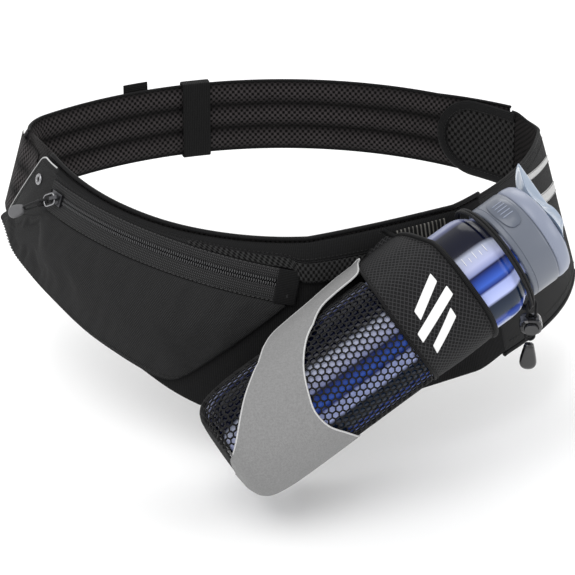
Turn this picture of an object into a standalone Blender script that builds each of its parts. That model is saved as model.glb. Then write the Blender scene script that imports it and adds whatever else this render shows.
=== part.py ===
"""Waist pack with a slanted bottle pocket, a zipped front pouch and a padded belt.

World frame: +X right, +Y back, +Z up; the origin is the middle of the bounding box's
underside. The points below are measured in millimetres from the middle of the waist
oval at the belt's mid height, and solid() moves them to the world frame in metres.
"""
import math

import bmesh
import bpy
from mathutils import Vector

MM = 0.001
GAP = 0.3

# Middle of the bounding box's underside, seen from the middle of the waist oval.
FRAME_ORIGIN = Vector((8.320, -79.758, -131.530))

# Waist oval: four arcs, measured at the top edge of the belt.
BELT_TOP = 28
FRONT_CENTRE = Vector((0, 40, 0))
FRONT_RADIUS = 184
SIDE_CENTRE = Vector((152, 15.4, 0))
SIDE_RADIUS = 30
BACK_CENTRE = Vector((0, -138, 0))
BACK_RADIUS = 246
SIDE_START = -9.2
SIDE_END = 45.3

# The front flares out towards its lower edge like a cone; one stretch of it is flat.
FLARE = math.tan(math.radians(17))
BACK_FLARE = 0.15
FLAT_START = -85
FLAT_END = -53

# Bottle and its pocket share one slanted axis.
BOTTLE_BASE = Vector((-32.2, -237.0, -83.0))
BOTTLE_TIP = Vector((139.3, -152.6, 11.3))
BOTTLE_RADIUS = 36.2
SLEEVE_RADIUS = 37.0
SLEEVE_LENGTH = 129
COLLAR_END = 176
CORD_AT = 207.5
CORD_RING_RADIUS = 37.9
CAP_START = 212.4
CAP_LENGTH = 32
CAP_RADIUS = 33.3

# Zip.
ZIP_OUT = 5.0
TAPE_EDGE = 8.6
TAPE_INNER = 2.7
ZIP_TRAVEL = 44.0

# Heights of the front's edges against the turn of the outward normal, in degrees.
TOP_EDGE = ((-169, 29), (-158, 35), (-150, 35), (-140, 31), (-125, 25), (-110, 20.5), (-90, 18),
            (-72, 19), (-55, 22), (-40, 25.5), (-20, 28), (20, 28), (45.3, 32.5), (62, 32.5))
LOW_EDGE = ((-169, -28), (-162, -28), (-155, -37), (-145, -44), (-136, -51), (-128, -59),
            (-118, -69), (-108, -84), (-100, -92), (-85, -95), (-53, -85), (-44, -80), (-5, -80),
            (12, -70), (30, -46), (45.3, -31), (62, -28))

# Looks: base colour, roughness, metallic.
KNIT = ((0.022, 0.022, 0.024), 0.85, 0.0)
LINING = ((0.03, 0.028, 0.028), 0.9, 0.0)
AIR_MESH = ((0.018, 0.016, 0.016), 0.85, 0.0)
WEBBING = ((0.03, 0.032, 0.034), 0.8, 0.0)
TAPE = ((0.035, 0.036, 0.038), 0.8, 0.0)
BINDING = ((0.012, 0.012, 0.013), 0.6, 0.0)
METAL = ((0.55, 0.55, 0.56), 0.25, 1.0)
DARK_METAL = ((0.12, 0.12, 0.13), 0.35, 1.0)
GRIP_RUBBER = ((0.09, 0.09, 0.095), 0.5, 0.0)
REFLECTIVE = ((0.5, 0.5, 0.53), 0.4, 0.0)
GREY_CLOTH = ((0.38, 0.38, 0.38), 0.7, 0.0)
RIPSTOP = ((0.035, 0.035, 0.038), 0.7, 0.0)
OPEN_MESH = ((0.012, 0.012, 0.012), 0.7, 0.0)
RIBBED = ((0.1, 0.1, 0.105), 0.7, 0.0)
CORD = ((0.012, 0.012, 0.013), 0.6, 0.0)
BLACK_PLASTIC = ((0.01, 0.01, 0.011), 0.25, 0.0)
BOTTLE_BLUE = ((0.03, 0.06, 0.25), 0.15, 0.0)
CAP_PLASTIC = ((0.22, 0.25, 0.32), 0.35, 0.0)
LID_PLASTIC = ((0.33, 0.37, 0.44), 0.3, 0.0)
PALE_PLASTIC = ((0.5, 0.56, 0.66), 0.2, 0.0)
SEAL_RUBBER = ((0.05, 0.05, 0.06), 0.6, 0.0)


# ---------------------------------------------------------------- solids

def clear_scene():
    for item in list(bpy.data.objects):
        bpy.data.objects.remove(item, do_unlink=True)


def material_for(name, look):
    colour, roughness, metallic = look
    material = bpy.data.materials.new(name + "_look")
    material.use_nodes = True
    shader = material.node_tree.nodes["Principled BSDF"]
    shader.inputs["Base Color"].default_value = (*colour, 1)
    shader.inputs["Roughness"].default_value = roughness
    shader.inputs["Metallic"].default_value = metallic
    return material


def solid(name, points, faces, look, origin=(0, 0, 0)):
    """One closed body from points round the waist oval; its own origin is one too."""
    origin = Vector(origin)
    mesh = bpy.data.meshes.new(name)
    mesh.from_pydata([(Vector(p) - origin) * MM for p in points], [], faces)
    work = bmesh.new()
    work.from_mesh(mesh)
    bmesh.ops.recalc_face_normals(work, faces=work.faces)
    work.to_mesh(mesh)
    work.free()
    body = bpy.data.objects.new(name, mesh)
    body.location = (origin - FRAME_ORIGIN) * MM
    bpy.context.scene.collection.objects.link(body)
    mesh.materials.append(material_for(name, look))
    return body


def sheet(name, columns, look, closed=False, origin=(0, 0, 0)):
    """Slab between two grids; every column lists (outer point, inner point) pairs."""
    rows = len(columns[0])
    count = len(columns)
    points = [point for column in columns for pair in column for point in pair]
    faces = []

    def at(column, row, side):
        return 2 * ((column % count) * rows + row) + side

    for c in range(count if closed else count - 1):
        for r in range(rows - 1):
            for side in (0, 1):
                faces.append((at(c, r, side), at(c + 1, r, side),
                              at(c + 1, r + 1, side), at(c, r + 1, side)))
        for r in (0, rows - 1):
            faces.append((at(c, r, 0), at(c + 1, r, 0), at(c + 1, r, 1), at(c, r, 1)))
    if not closed:
        for c in (0, count - 1):
            for r in range(rows - 1):
                faces.append((at(c, r, 0), at(c, r + 1, 0), at(c, r + 1, 1), at(c, r, 1)))
    return solid(name, points, faces, look, origin)


def loft(name, rings, look, origin=(0, 0, 0)):
    """Body through a stack of rings with equal point counts, capped at both ends."""
    count = len(rings[0])
    points = [point for ring in rings for point in ring]
    faces = [tuple(range(count)), tuple(range(len(points) - count, len(points)))]
    for k in range(len(rings) - 1):
        for i in range(count):
            j = (i + 1) % count
            faces.append((k * count + i, k * count + j,
                          (k + 1) * count + j, (k + 1) * count + i))
    return solid(name, points, faces, look, origin)


def tube(name, path, radius, look, closed=False, sides=6, origin=(0, 0, 0)):
    """Round cord along a path of points."""
    count = len(path)
    rings = []
    normal = None
    for i, point in enumerate(path):
        before = path[(i - 1) % count] if closed or i else point
        after = path[(i + 1) % count] if closed or i < count - 1 else point
        along = (after - before).normalized()
        if normal is None:
            normal = along.orthogonal().normalized()
        normal = (normal - along * normal.dot(along)).normalized()
        other = along.cross(normal)
        rings.append([point + radius * (normal * math.cos(a) + other * math.sin(a))
                      for a in (2 * math.pi * k / sides for k in range(sides))])
    if not closed:
        return loft(name, rings, look, origin)
    points = [point for ring in rings for point in ring]
    shift = closing_shift(rings[-1], rings[0])
    faces = []
    for k in range(count):
        turn = shift if k == count - 1 else 0
        for i in range(sides):
            j = (i + 1) % sides
            m = (k + 1) % count
            faces.append((k * sides + i, k * sides + j,
                          m * sides + (j + turn) % sides, m * sides + (i + turn) % sides))
    return solid(name, points, faces, look, origin)


def closing_shift(last, first):
    """How far round the first ring the last ring's points have turned."""
    sides = len(last)
    return min(range(sides), key=lambda s: sum(
        (last[i] - first[(i + s) % sides]).length for i in range(sides)))


def lathe(name, profile, frame, look, segments=32, origin=(0, 0, 0)):
    """Turned body: profile of (along, radius); a zero radius at an end is a pole."""
    centre, along, side, other = frame
    points = []
    starts = []
    for distance, radius in profile:
        starts.append(len(points))
        turns = 1 if radius == 0 else segments
        for k in range(turns):
            angle = 2 * math.pi * k / segments
            arm = side * math.cos(angle) + other * math.sin(angle)
            points.append(centre + along * distance + arm * radius)
    faces = []
    open_ends = profile[0][1] == 0 and profile[-1][1] == 0
    for n in range(len(profile) - 1 if open_ends else len(profile)):
        m = (n + 1) % len(profile)
        for k in range(segments):
            j = (k + 1) % segments
            quad = [starts[n] + (k if profile[n][1] else 0),
                    starts[n] + (j if profile[n][1] else 0),
                    starts[m] + (j if profile[m][1] else 0),
                    starts[m] + (k if profile[m][1] else 0)]
            faces.append(tuple(dict.fromkeys(quad)))
    return solid(name, points, faces, look, origin)


def prism(name, outline, frame, low, high, look, origin=(0, 0, 0)):
    """Outline of (x, y) pairs pushed from low to high along the frame's last axis."""
    centre, x_axis, y_axis, z_axis = frame
    rings = [[centre + x_axis * x + y_axis * y + z_axis * h for x, y in outline]
             for h in (low, high)]
    return loft(name, rings, look, origin)


def cut(body, cutter):
    """Take the cutter out of the body and hide the cutter as a guide."""
    bpy.context.view_layer.update()
    step = body.modifiers.new("cut_" + cutter.name, 'BOOLEAN')
    step.operation = 'DIFFERENCE'
    step.solver = 'EXACT'
    step.object = cutter
    cutter.hide_render = True
    cutter.display_type = 'WIRE'


def round_outline(length, width, corner, steps=3):
    """Rectangle with rounded corners, centred on the origin."""
    outline = []
    for quarter, (sx, sy) in enumerate(((1, 1), (-1, 1), (-1, -1), (1, -1))):
        centre = (sx * (length / 2 - corner), sy * (width / 2 - corner))
        for k in range(steps + 1):
            angle = math.radians(90 * quarter + 90 * k / steps)
            outline.append((centre[0] + corner * math.cos(angle),
                            centre[1] + corner * math.sin(angle)))
    return outline


def from_table(table, x):
    """Value read off a table of (x, y) pairs, straight between its rows."""
    if x <= table[0][0]:
        return table[0][1]
    for (x0, y0), (x1, y1) in zip(table, table[1:]):
        if x <= x1:
            return y0 + (y1 - y0) * (x - x0) / (x1 - x0)
    return table[-1][1]


def spread(start, end, steps):
    return [start + (end - start) * k / steps for k in range(steps + 1)]


# ---------------------------------------------------------------- the waist ring

def arc_of(turn):
    """Centre, radius and flare share of the arc whose outward normal has this turn."""
    if turn < SIDE_START or turn > 180 - SIDE_START:
        return FRONT_CENTRE, FRONT_RADIUS, 1
    if turn <= SIDE_END:
        share = (turn - SIDE_START) / (SIDE_END - SIDE_START)
        return SIDE_CENTRE, SIDE_RADIUS, 1 + (BACK_FLARE - 1) * share
    if turn >= 180 - SIDE_END:
        left = Vector((-SIDE_CENTRE.x, SIDE_CENTRE.y, 0))
        share = (180 - SIDE_START - turn) / (SIDE_END - SIDE_START)
        return left, SIDE_RADIUS, 1 + (BACK_FLARE - 1) * share
    return BACK_CENTRE, BACK_RADIUS, BACK_FLARE


def ring_point(turn, height, out):
    """Point of the ring: turn of its outward normal, height, distance off the surface."""
    if turn < SIDE_START - 180:
        turn += 360
    if FLAT_START < turn < FLAT_END:
        share = (turn - FLAT_START) / (FLAT_END - FLAT_START)
        return ring_point(FLAT_START, height, out).lerp(ring_point(FLAT_END, height, out), share)
    centre, radius, flare = arc_of(turn)
    reach = radius + FLARE * flare * (BELT_TOP - height) + out
    angle = math.radians(turn)
    return Vector((centre.x + reach * math.cos(angle), centre.y + reach * math.sin(angle), height))


LINING_LEFT = -168.0


def front_columns():
    """Pairs of (lower turn, upper turn): the left end of the front is cut on a slant."""
    left = [(low, high) for low, high in zip(spread(-162, -110, 9), spread(-150, -110, 9))]
    return left + [(turn, turn) for turn in (-104, -98, -92, -85, -69, -53, -49, -45)]


def front_layer(name, inner, outer, edges, look):
    columns = []
    for low_turn, high_turn in edges:
        low = from_table(LOW_EDGE, low_turn)
        high = from_table(TOP_EDGE, high_turn)
        column = []
        for share in (0, 0.33, 0.66, 1):
            turn = low_turn + (high_turn - low_turn) * share
            height = low + (high - low) * share
            column.append((ring_point(turn, height, outer), ring_point(turn, height, inner)))
        columns.append(column)
    return sheet(name, columns, look)


def build_front_layers():
    to_strap = [(turn, turn) for turn in (LINING_LEFT, -165, -161.5)]
    whole = to_strap + [(low, high) for low, high in zip(spread(-157, -110, 8),
                                                         spread(-157, -110, 8))]
    front_layer("lining", -4.2, -1.0, whole + front_columns()[10:], LINING)
    front_layer("main_panel", 0, 1.2, front_columns(), KNIT)


# ---------------------------------------------------------------- zip and pouch

def circle_through(a, b, c):
    """Centre, unit axis and radius of the circle through three points."""
    ab = b - a
    ac = c - a
    axis = ab.cross(ac)
    arm = (axis.cross(ab) * ac.length_squared + ac.cross(axis) * ab.length_squared)
    arm /= 2 * axis.length_squared
    return a + arm, axis.normalized(), arm.length


TRACK_START = ring_point(-141, 17.0, ZIP_OUT)
TRACK_MIDDLE = ring_point(-115, 8.0, ZIP_OUT)
TRACK_END = ring_point(-91, -5.5, ZIP_OUT)
TRACK_CENTRE, TRACK_AXIS, TRACK_RADIUS = circle_through(TRACK_START, TRACK_MIDDLE, TRACK_END)
TRACK_ARM = (TRACK_START - TRACK_CENTRE).normalized()
TRACK_SIDE = TRACK_AXIS.cross(TRACK_ARM)


def track_tilt():
    """Angle by which the tape leans out of the track's cylinder, as the pouch does."""
    up = (ring_point(-115, 9.0, ZIP_OUT) - TRACK_MIDDLE).normalized()
    outward = (TRACK_MIDDLE - TRACK_CENTRE).normalized()
    return math.atan2(-up.dot(outward), up.dot(TRACK_AXIS))


TRACK_TILT = track_tilt()


def track_frame(angle):
    """Point on the zip's centre line with its along, across and outward directions."""
    turn = math.radians(angle)
    arm = TRACK_ARM * math.cos(turn) + TRACK_SIDE * math.sin(turn)
    along = TRACK_AXIS.cross(arm)
    across = TRACK_AXIS * math.cos(TRACK_TILT) - arm * math.sin(TRACK_TILT)
    outward = arm * math.cos(TRACK_TILT) + TRACK_AXIS * math.sin(TRACK_TILT)
    return TRACK_CENTRE + arm * TRACK_RADIUS, along, across, outward


def track_point(angle, across, out):
    centre, _, up, outward = track_frame(angle)
    return centre + up * across + outward * out


def track_angle(point):
    arm = point - TRACK_CENTRE
    return math.degrees(math.atan2(arm.dot(TRACK_SIDE), arm.dot(TRACK_ARM)))


TRACK_LEFT = -3.0
TRACK_RIGHT = track_angle(TRACK_END) + 2.5


def zip_strip(name, low, high, thickness, look, left=TRACK_LEFT, right=TRACK_RIGHT):
    columns = []
    for angle in spread(left, right, 16):
        columns.append([(track_point(angle, across, thickness / 2),
                         track_point(angle, across, -thickness / 2)) for across in (low, high)])
    return sheet(name, columns, look)


def build_zip_tapes():
    zip_strip("zip_tape_upper", TAPE_INNER, TAPE_EDGE, 1.2, TAPE)
    zip_strip("zip_tape_lower", -TAPE_EDGE, -TAPE_INNER, 1.2, TAPE)
    for name, low in (("zip_teeth_upper", 1.2), ("zip_teeth_lower", -2.4)):
        zip_strip(name, low, low + 1.2, 2.0, BINDING, TRACK_LEFT + 1, TRACK_RIGHT - 1)
    for side, start in (("left", TRACK_LEFT + 0.1), ("right", TRACK_RIGHT - 0.8)):
        zip_strip("zip_stop_" + side, -2.4, 2.4, 2.4, DARK_METAL, start, start + 0.7)


def front_coordinates(point):
    """Turn, height and distance off the surface of a point by the curved front."""
    arm = point - FRONT_CENTRE
    off = arm.xy.length - FRONT_RADIUS - FLARE * (BELT_TOP - point.z)
    return Vector((math.degrees(math.atan2(arm.y, arm.x)), point.z, off))


def pouch_top_edge():
    """Upper border of the pouch front: along the end panel, then under the zip tape."""
    border = [Vector(place) for place in (
        (-162, -21, 2.6), (-157, -13.5, 3.2), (-151, -4.5, 4.2), (-146.4, 2.6, 4.8))]
    for angle in spread(TRACK_LEFT + 0.6, TRACK_RIGHT, 9):
        border.append(front_coordinates(track_point(angle, -TAPE_EDGE - GAP, 0)))
    return border


def build_pouch_front():
    """Stretch panel bulging off the main panel; its rim comes back down to it."""
    thickness = 1.4
    top = pouch_top_edge()
    low_turns = [-161.5, -159.5, -157, -153, -149, -144, -139, -133.5, -128, -122.5, -117.5,
                 -113, -109.5, -107]
    corner = {10: 1.0, 11: 3.5, 12: 8.0, 13: 16.0}
    columns = []
    last = len(top) - 1
    for i, (upper, turn) in enumerate(zip(top, low_turns)):
        lower = Vector((turn, from_table(LOW_EDGE, turn) + corner.get(i, 0.5), 3.2))
        fullness = 5.0 * math.sin(math.pi * min(1, (0.18 + i / last) / 1.18)) ** 0.5
        column = []
        for share in (0, 0.12, 0.35, 0.6, 0.85, 1):
            place = upper.lerp(lower, share)
            out = place.z + fullness * math.sin(math.pi * share) ** 0.7
            column.append((ring_point(place.x, place.y, out + thickness / 2),
                           ring_point(place.x, place.y, out - thickness / 2)))
        columns.append(column)
    return sheet("pouch_front", columns, KNIT)


def build_end_panel():
    """Plain end of the pouch, left of the zip, with a hole for the eyelet."""
    columns = []
    for share in (0, 0.3, 0.65, 1):
        column = []
        for rise in (0, 0.33, 0.66, 1):
            left = (-162 + 12 * rise, -18.5 + 53 * rise)
            right = (-145.4 + 0.4 * rise, 5.5 + 27 * rise)
            turn = left[0] + (right[0] - left[0]) * share
            height = left[1] + (right[1] - left[1]) * share
            out = 2.6 + (ZIP_OUT - 2.6) * share ** 0.7
            column.append((ring_point(turn, height, out + 0.6), ring_point(turn, height, out - 0.6)))
        columns.append(column)
    panel = sheet("end_panel", columns, WEBBING)
    hole = lathe("eyelet_hole", ((-6, 0), (-6, 2.2), (6, 2.2), (6, 0)), eyelet_frame(), METAL, 16)
    cut(panel, hole)


def eyelet_frame():
    turn, height, out = -150.3, 19.0, 4.05
    centre = ring_point(turn, height, out)
    angle = math.radians(turn)
    outward = Vector((math.cos(angle), math.sin(angle), FLARE)).normalized()
    side = outward.cross(Vector((0, 0, 1))).normalized()
    return centre, outward, side, outward.cross(side)


def build_eyelet():
    frame = eyelet_frame()
    lathe("eyelet", ((1.1, 3.3), (1.6, 2.9), (1.7, 2.1), (-1.2, 1.9), (-1.2, 1.3), (1.3, 1.3),
                     (1.9, 1.9), (2.0, 2.8), (1.5, 3.3)), frame, METAL, 16)
    lathe("eyelet_washer", ((-2.1, 2.2), (-2.1, 3.4), (-1.5, 3.4), (-1.5, 2.2)), frame, METAL, 16)


def build_top_band():
    """Plain band from the zip to the top edge, carried on to the right past the zip."""
    columns = []
    lower = [(track_point(angle, TAPE_EDGE + GAP, 0)) for angle in
             spread(TRACK_LEFT, TRACK_RIGHT, 11)]
    turns = spread(-144.3, -90.5, 11)
    lower += [ring_point(turn, height, out) for turn, height, out in
              ((-85, -7, 3.6), (-69, -9, 2.4), (-53, -10, 2.2))]
    turns += [-85, -69, -53]
    for turn, low in zip(turns, lower):
        high = ring_point(turn, from_table(TOP_EDGE, turn) - 0.2, 2.2)
        column = []
        for share in (0, 0.5, 1):
            middle = low.lerp(high, share)
            outward = Vector((math.cos(math.radians(turn)), math.sin(math.radians(turn)), FLARE))
            outward.normalize()
            bulge = 1.2 * math.sin(math.pi * share)
            column.append((middle + outward * (bulge + 0.6), middle + outward * (bulge - 0.6)))
        columns.append(column)
    return sheet("top_band", columns, WEBBING)


def build_top_piping():
    path = []
    for turn in spread(-149.5, -87, 13) + [-85, -69, -53, -49, -45.5]:
        path.append(ring_point(turn, from_table(TOP_EDGE, turn) + 1.9, 0.2))
    return tube("top_piping", path, 1.5, BINDING, sides=6)


# ---------------------------------------------------------------- zip slider and pull

def slider_frame():
    centre, along, across, outward = track_frame(0)
    return centre, along, across, outward


def pull_frame():
    """Pivot of the pull and its directions: down the pull, along the pivot, outward."""
    centre, along, across, outward = slider_frame()
    down = (-along * 0.80 - across * 0.60 + outward * 0.12).normalized()
    pivot = centre + outward * 5.0
    side = down.cross(outward).normalized()
    return pivot, down, side, side.cross(down)


def build_slider():
    centre, along, across, outward = slider_frame()
    half = 4.3
    outline = [(-half, 1.5), (-half, 3.1), (half, 3.1), (half, 1.5), (0.85, 1.5), (0.85, -1.5),
               (half, -1.5), (half, -3.0), (-half, -3.0), (-half, -1.5), (-0.85, -1.5),
               (-0.85, 1.5)]
    prism("zip_slider", outline, (centre, across, outward, along), -5.5, 5.5, METAL,
          TRACK_CENTRE)


def build_slider_crown():
    """Arch on the slider that holds the pull's wire."""
    pivot, down, side, outward = pull_frame()
    outline = [(-3.4, -0.9), (-3.4, 0.6), (-2.2, 2.2), (2.2, 2.2), (3.4, 0.6), (3.4, -0.9),
               (2.3, -0.9), (2.3, 0.2), (1.5, 1.2), (-1.5, 1.2), (-2.3, 0.2), (-2.3, -0.9)]
    prism("slider_crown", outline, (pivot, down, outward, side), -1.1, 1.1, METAL, TRACK_CENTRE)


def build_pull():
    pivot, down, side, outward = pull_frame()
    wire = []
    for x, y in round_outline(10.0, 7.6, 2.0, 3):
        wire.append(pivot + down * (x + 4.4) + side * y)
    tube("zip_bail", wire, 0.6, METAL, closed=True, origin=pivot)
    loop = []
    for x, y in round_outline(22.0, 4.4, 2.2, 3):
        loop.append(pivot + down * (x + 17.8) + outward * y)
    tube("zip_pull_cord", loop, 0.85, CORD, closed=True, origin=pivot)
    outline = [(0, 3.2), (4, 4.2), (9, 4.6), (13, 4.0), (15, 2.4), (15.6, 0), (15, -2.4),
               (13, -4.0), (9, -4.6), (4, -4.2), (0, -3.2)]
    start = pivot + down * 30.2
    rings = []
    for height, scale in ((-2.4, 0.7), (-1.4, 1), (1.4, 1), (2.4, 0.7)):
        rings.append([start + down * (7.5 + (x - 7.5) * scale) + side * (y * scale)
                      + outward * height for x, y in outline])
    loft("zip_pull_grip", rings, GRIP_RUBBER, pivot)


# ---------------------------------------------------------------- right wing and tab

WING_TURNS = (-44.6, -38, -31, -24, -17, -9.2, -2, 6, 14, 22, 30, 38, 45.3)


def build_wing():
    columns = []
    for turn in WING_TURNS:
        low = from_table(LOW_EDGE, turn)
        high = from_table(TOP_EDGE, turn)
        out = wing_out(turn)
        columns.append([(ring_point(turn, h, out + 2.6), ring_point(turn, h, out))
                        for h in spread(low, high, 3)])
    return sheet("wing_panel", columns, KNIT)


def wing_out(turn):
    """The wing runs inside the strap at its far end."""
    return from_table(((-9.2, -0.6), (45.3, -8.0)), turn)


def build_wing_binding():
    """Round binding just below the wing's lower edge, square to it where it climbs."""
    edge = [ring_point(turn, from_table(LOW_EDGE, turn), wing_out(turn) + 1.3)
            for turn in WING_TURNS]
    path = []
    for i, point in enumerate(edge):
        along = (edge[min(i + 1, len(edge) - 1)] - edge[max(i - 1, 0)]).normalized()
        down = Vector((0, 0, -1))
        down = (down - along * down.dot(along)).normalized()
        path.append(point + down * 2.3)
    return tube("wing_binding", path, 1.5, BINDING)


def build_stripe(name, table, width):
    """Reflective stripe on the wing; the table gives its middle height against turn."""
    columns = []
    for turn in WING_TURNS[2:9]:
        middle = from_table(table, turn)
        out = wing_out(turn) + 2.9
        columns.append([(ring_point(turn, middle + h, out + 0.4), ring_point(turn, middle + h, out))
                        for h in (-width / 2, width / 2)])
    return sheet(name, columns, REFLECTIVE)


TAB_OUT = -8.0
TAB_END = 61.0
TAB_MIDDLE = 2.25
TAB_REACH = 30.25


def tab_half_height(turn, inset=0):
    """Half height of the tab: parallel edges and a round end."""
    reach = TAB_REACH - inset
    to_end = math.radians(TAB_END - turn) * (BACK_RADIUS + TAB_OUT) - inset
    if to_end >= reach:
        return reach
    return math.sqrt(max(reach ** 2 - (reach - to_end) ** 2, 0.04))


def build_tab():
    columns = []
    for turn in (45.7, 49, 52, 54.5, 56.5, 58, 59.3, 60.2, 60.8, 61):
        half = tab_half_height(turn)
        columns.append([(ring_point(turn, TAB_MIDDLE + h, TAB_OUT + 2.6),
                         ring_point(turn, TAB_MIDDLE + h, TAB_OUT))
                        for h in (-half, -half / 3, half / 3, half)])
    return sheet("hook_tab", columns, AIR_MESH)


def build_tab_binding():
    """Flat binding on the body side of the tab, round its end."""
    width = 7.5
    turns = (46, 50, 54, 56.5, 58.5, 60, 60.7)
    border = [(turn, tab_half_height(turn)) for turn in turns]
    path = border + [(61, 0)] + [(turn, -half) for turn, half in reversed(border)]
    columns = []
    for turn, height in path:
        inner_turn = min(turn, TAB_END - math.degrees(width / (BACK_RADIUS + TAB_OUT)))
        if height == 0:
            inner_height = 0
        else:
            inner_height = math.copysign(tab_half_height(inner_turn, width), height)
        places = ((turn, TAB_MIDDLE + height), (inner_turn, TAB_MIDDLE + inner_height))
        columns.append([(ring_point(*place, TAB_OUT - GAP), ring_point(*place, TAB_OUT - 1.3))
                        for place in places])
    return sheet("tab_binding", columns, BINDING)


def patch(name, low_turn, high_turn, half_height, middle, inner, outer, look, origin=(0, 0, 0)):
    """Plain piece of fabric lying along the ring."""
    columns = []
    for turn in spread(low_turn, high_turn, 3):
        columns.append([(ring_point(turn, middle + h, outer), ring_point(turn, middle + h, inner))
                        for h in (-half_height, half_height)])
    return sheet(name, columns, look, origin=origin)


# ---------------------------------------------------------------- back strap

STRAP_PIVOT = 191.0
STRAP_LEFT = 190.0
STRAP_RIGHT = 47.5
STRAP_INNER = -3.0
STRAP_OUTER = 2.6
KEEPER_TURN = 105.8
LOOP_TURN = 116.4


def strap_section(pad):
    """Heights and half thickness shares across the three quilted rows."""
    section = [(-28, 0.35)]
    for row in range(3):
        bottom = -28 + 56 / 3 * row
        section += [(bottom + 3.2, pad), (bottom + 56 / 3 - 3.2, pad), (bottom + 56 / 3, 0.35)]
    return section


def build_back_strap():
    turns = [STRAP_LEFT, 184, 177, 170, 163, 156, 149, 142] + spread(134.7, 45.3, 20)[:-1]
    turns += [STRAP_RIGHT]
    middle = (STRAP_OUTER + STRAP_INNER) / 2
    half = (STRAP_OUTER - STRAP_INNER) / 2
    columns = []
    for turn in turns:
        rise = from_table(((STRAP_RIGHT, 4.5), (62, 0)), turn)
        column = []
        for height, share in strap_section(1.0):
            lifted = height + rise * max(height, 0) / BELT_TOP
            column.append((ring_point(turn, lifted, middle + half * share),
                           ring_point(turn, lifted, middle - half * share)))
        columns.append(column)
    return sheet("back_strap", columns, AIR_MESH, origin=strap_pivot())


def strap_pivot():
    """The strap opens like a door about a line by its outer face at the left end."""
    pivot = ring_point(STRAP_PIVOT, 0, STRAP_OUTER + 1.2)
    return Vector((pivot.x, pivot.y, 0))


def band_round_strap(name, middle_turn, width_turns, clearance, thickness, look, origin):
    """Closed band worn round the strap."""
    outer = STRAP_OUTER + clearance
    inner = STRAP_INNER - clearance
    top = BELT_TOP + clearance
    corners = ((-top, outer), (0, outer), (top, outer), (top, inner), (0, inner), (-top, inner))
    grown = {outer: outer + thickness, inner: inner - thickness}
    columns = []
    for height, out in corners:
        tall = height + math.copysign(thickness, height) if height else 0
        columns.append([(ring_point(turn, tall, grown[out]), ring_point(turn, height, out))
                        for turn in spread(middle_turn - width_turns / 2,
                                           middle_turn + width_turns / 2, 2)])
    return sheet(name, columns, look, closed=True, origin=origin)


def build_outer_loop():
    """Folded tag of webbing on the strap's outer face, standing above its top edge."""
    columns = []
    for turn in spread(LOOP_TURN - 2.2, LOOP_TURN + 2.2, 2):
        column = []
        for height in (-14, 10, 34):
            column.append((ring_point(turn, height, STRAP_OUTER + 2.2),
                           ring_point(turn, height, STRAP_OUTER + GAP)))
        columns.append(column)
    return sheet("outer_loop", columns, WEBBING, origin=strap_pivot())


# ---------------------------------------------------------------- bottle pocket

BOTTLE_AXIS = (BOTTLE_TIP - BOTTLE_BASE).normalized()
SIGHT = Vector((0, math.cos(math.radians(28)), -math.sin(math.radians(28))))
BOTTLE_FRONT = -(SIGHT - BOTTLE_AXIS * SIGHT.dot(BOTTLE_AXIS)).normalized()
BOTTLE_UPPER = BOTTLE_FRONT.cross(BOTTLE_AXIS)


def bottle_point(along, forward, upper):
    return BOTTLE_BASE + BOTTLE_AXIS * along + BOTTLE_FRONT * forward + BOTTLE_UPPER * upper


def bottle_polar(along, angle, radius):
    """Angle in degrees from the pocket's front line towards its upper side."""
    turn = math.radians(angle)
    return bottle_point(along, radius * math.cos(turn), radius * math.sin(turn))


def bottle_frame(along=0):
    return BOTTLE_BASE + BOTTLE_AXIS * along, BOTTLE_AXIS, BOTTLE_FRONT, BOTTLE_UPPER


def reach_panel(along, forward, upper, out):
    """Distance from a pocket point straight back to the main panel's outer face."""
    distance = 0.0
    while distance < 120:
        point = bottle_point(along, forward - distance, upper)
        arm = point - FRONT_CENTRE
        turn = math.degrees(math.atan2(arm.y, arm.x))
        turn = min(max(turn, -161), -1)
        face = ring_point(turn, min(point.z, 40), out)
        if (point - face).dot(Vector((arm.x, arm.y, 0))) <= 0:
            return distance
        distance += 0.5
    return distance


def build_sleeve():
    wall = 1.5
    outer = SLEEVE_RADIUS + wall
    profile = ((-3.0, 0), (-3.0, 28), (-1.0, 34.5), (3.5, outer), (SLEEVE_LENGTH, outer),
               (SLEEVE_LENGTH, SLEEVE_RADIUS), (4.0, SLEEVE_RADIUS), (0.2, 33.5), (-1.2, 27.5),
               (-1.2, 0))
    return lathe("pocket_sleeve", profile, bottle_frame(), OPEN_MESH, 32)


# Grey cloth: place across the pocket, then its lower and upper end along the pocket.
GREY_ROUND = ((-105, 3, 84), (-69, 3, 74.5), (-48, 3, 64), (-32, 3, 58), (-15, 3, 55),
              (0, 3, 56), (10, 6, 58), (25, 17, 63.5), (41, 28, 71.5), (54, 38, 80), (62, 43, 86))
GREY_FLAP = (((8.5, 40.7), 55, 124), ((-3, 45.5), 75, 128), ((-14, 48.2), 105, 128),
             ((-21.5, 49.4), 118, 128))


def build_grey_panel():
    """Plain cloth over the sleeve's lower end, curving round the mesh window."""
    radius = SLEEVE_RADIUS + 1.5 + GAP
    columns = []
    for angle in spread(-105, 62, 21):
        low = from_table([row[:2] for row in GREY_ROUND], angle)
        high = from_table([row[::2] for row in GREY_ROUND], angle)
        columns.append([(bottle_polar(along, angle, radius + 1.2),
                         bottle_polar(along, angle, radius)) for along in (low, high)])
    for (forward, upper), low, high in GREY_FLAP:
        columns.append([(bottle_point(along, forward + 0.4, upper + 1.1),
                         bottle_point(along, forward, upper)) for along in (low, high)])
    return sheet("grey_panel", columns, GREY_CLOTH)


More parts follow.
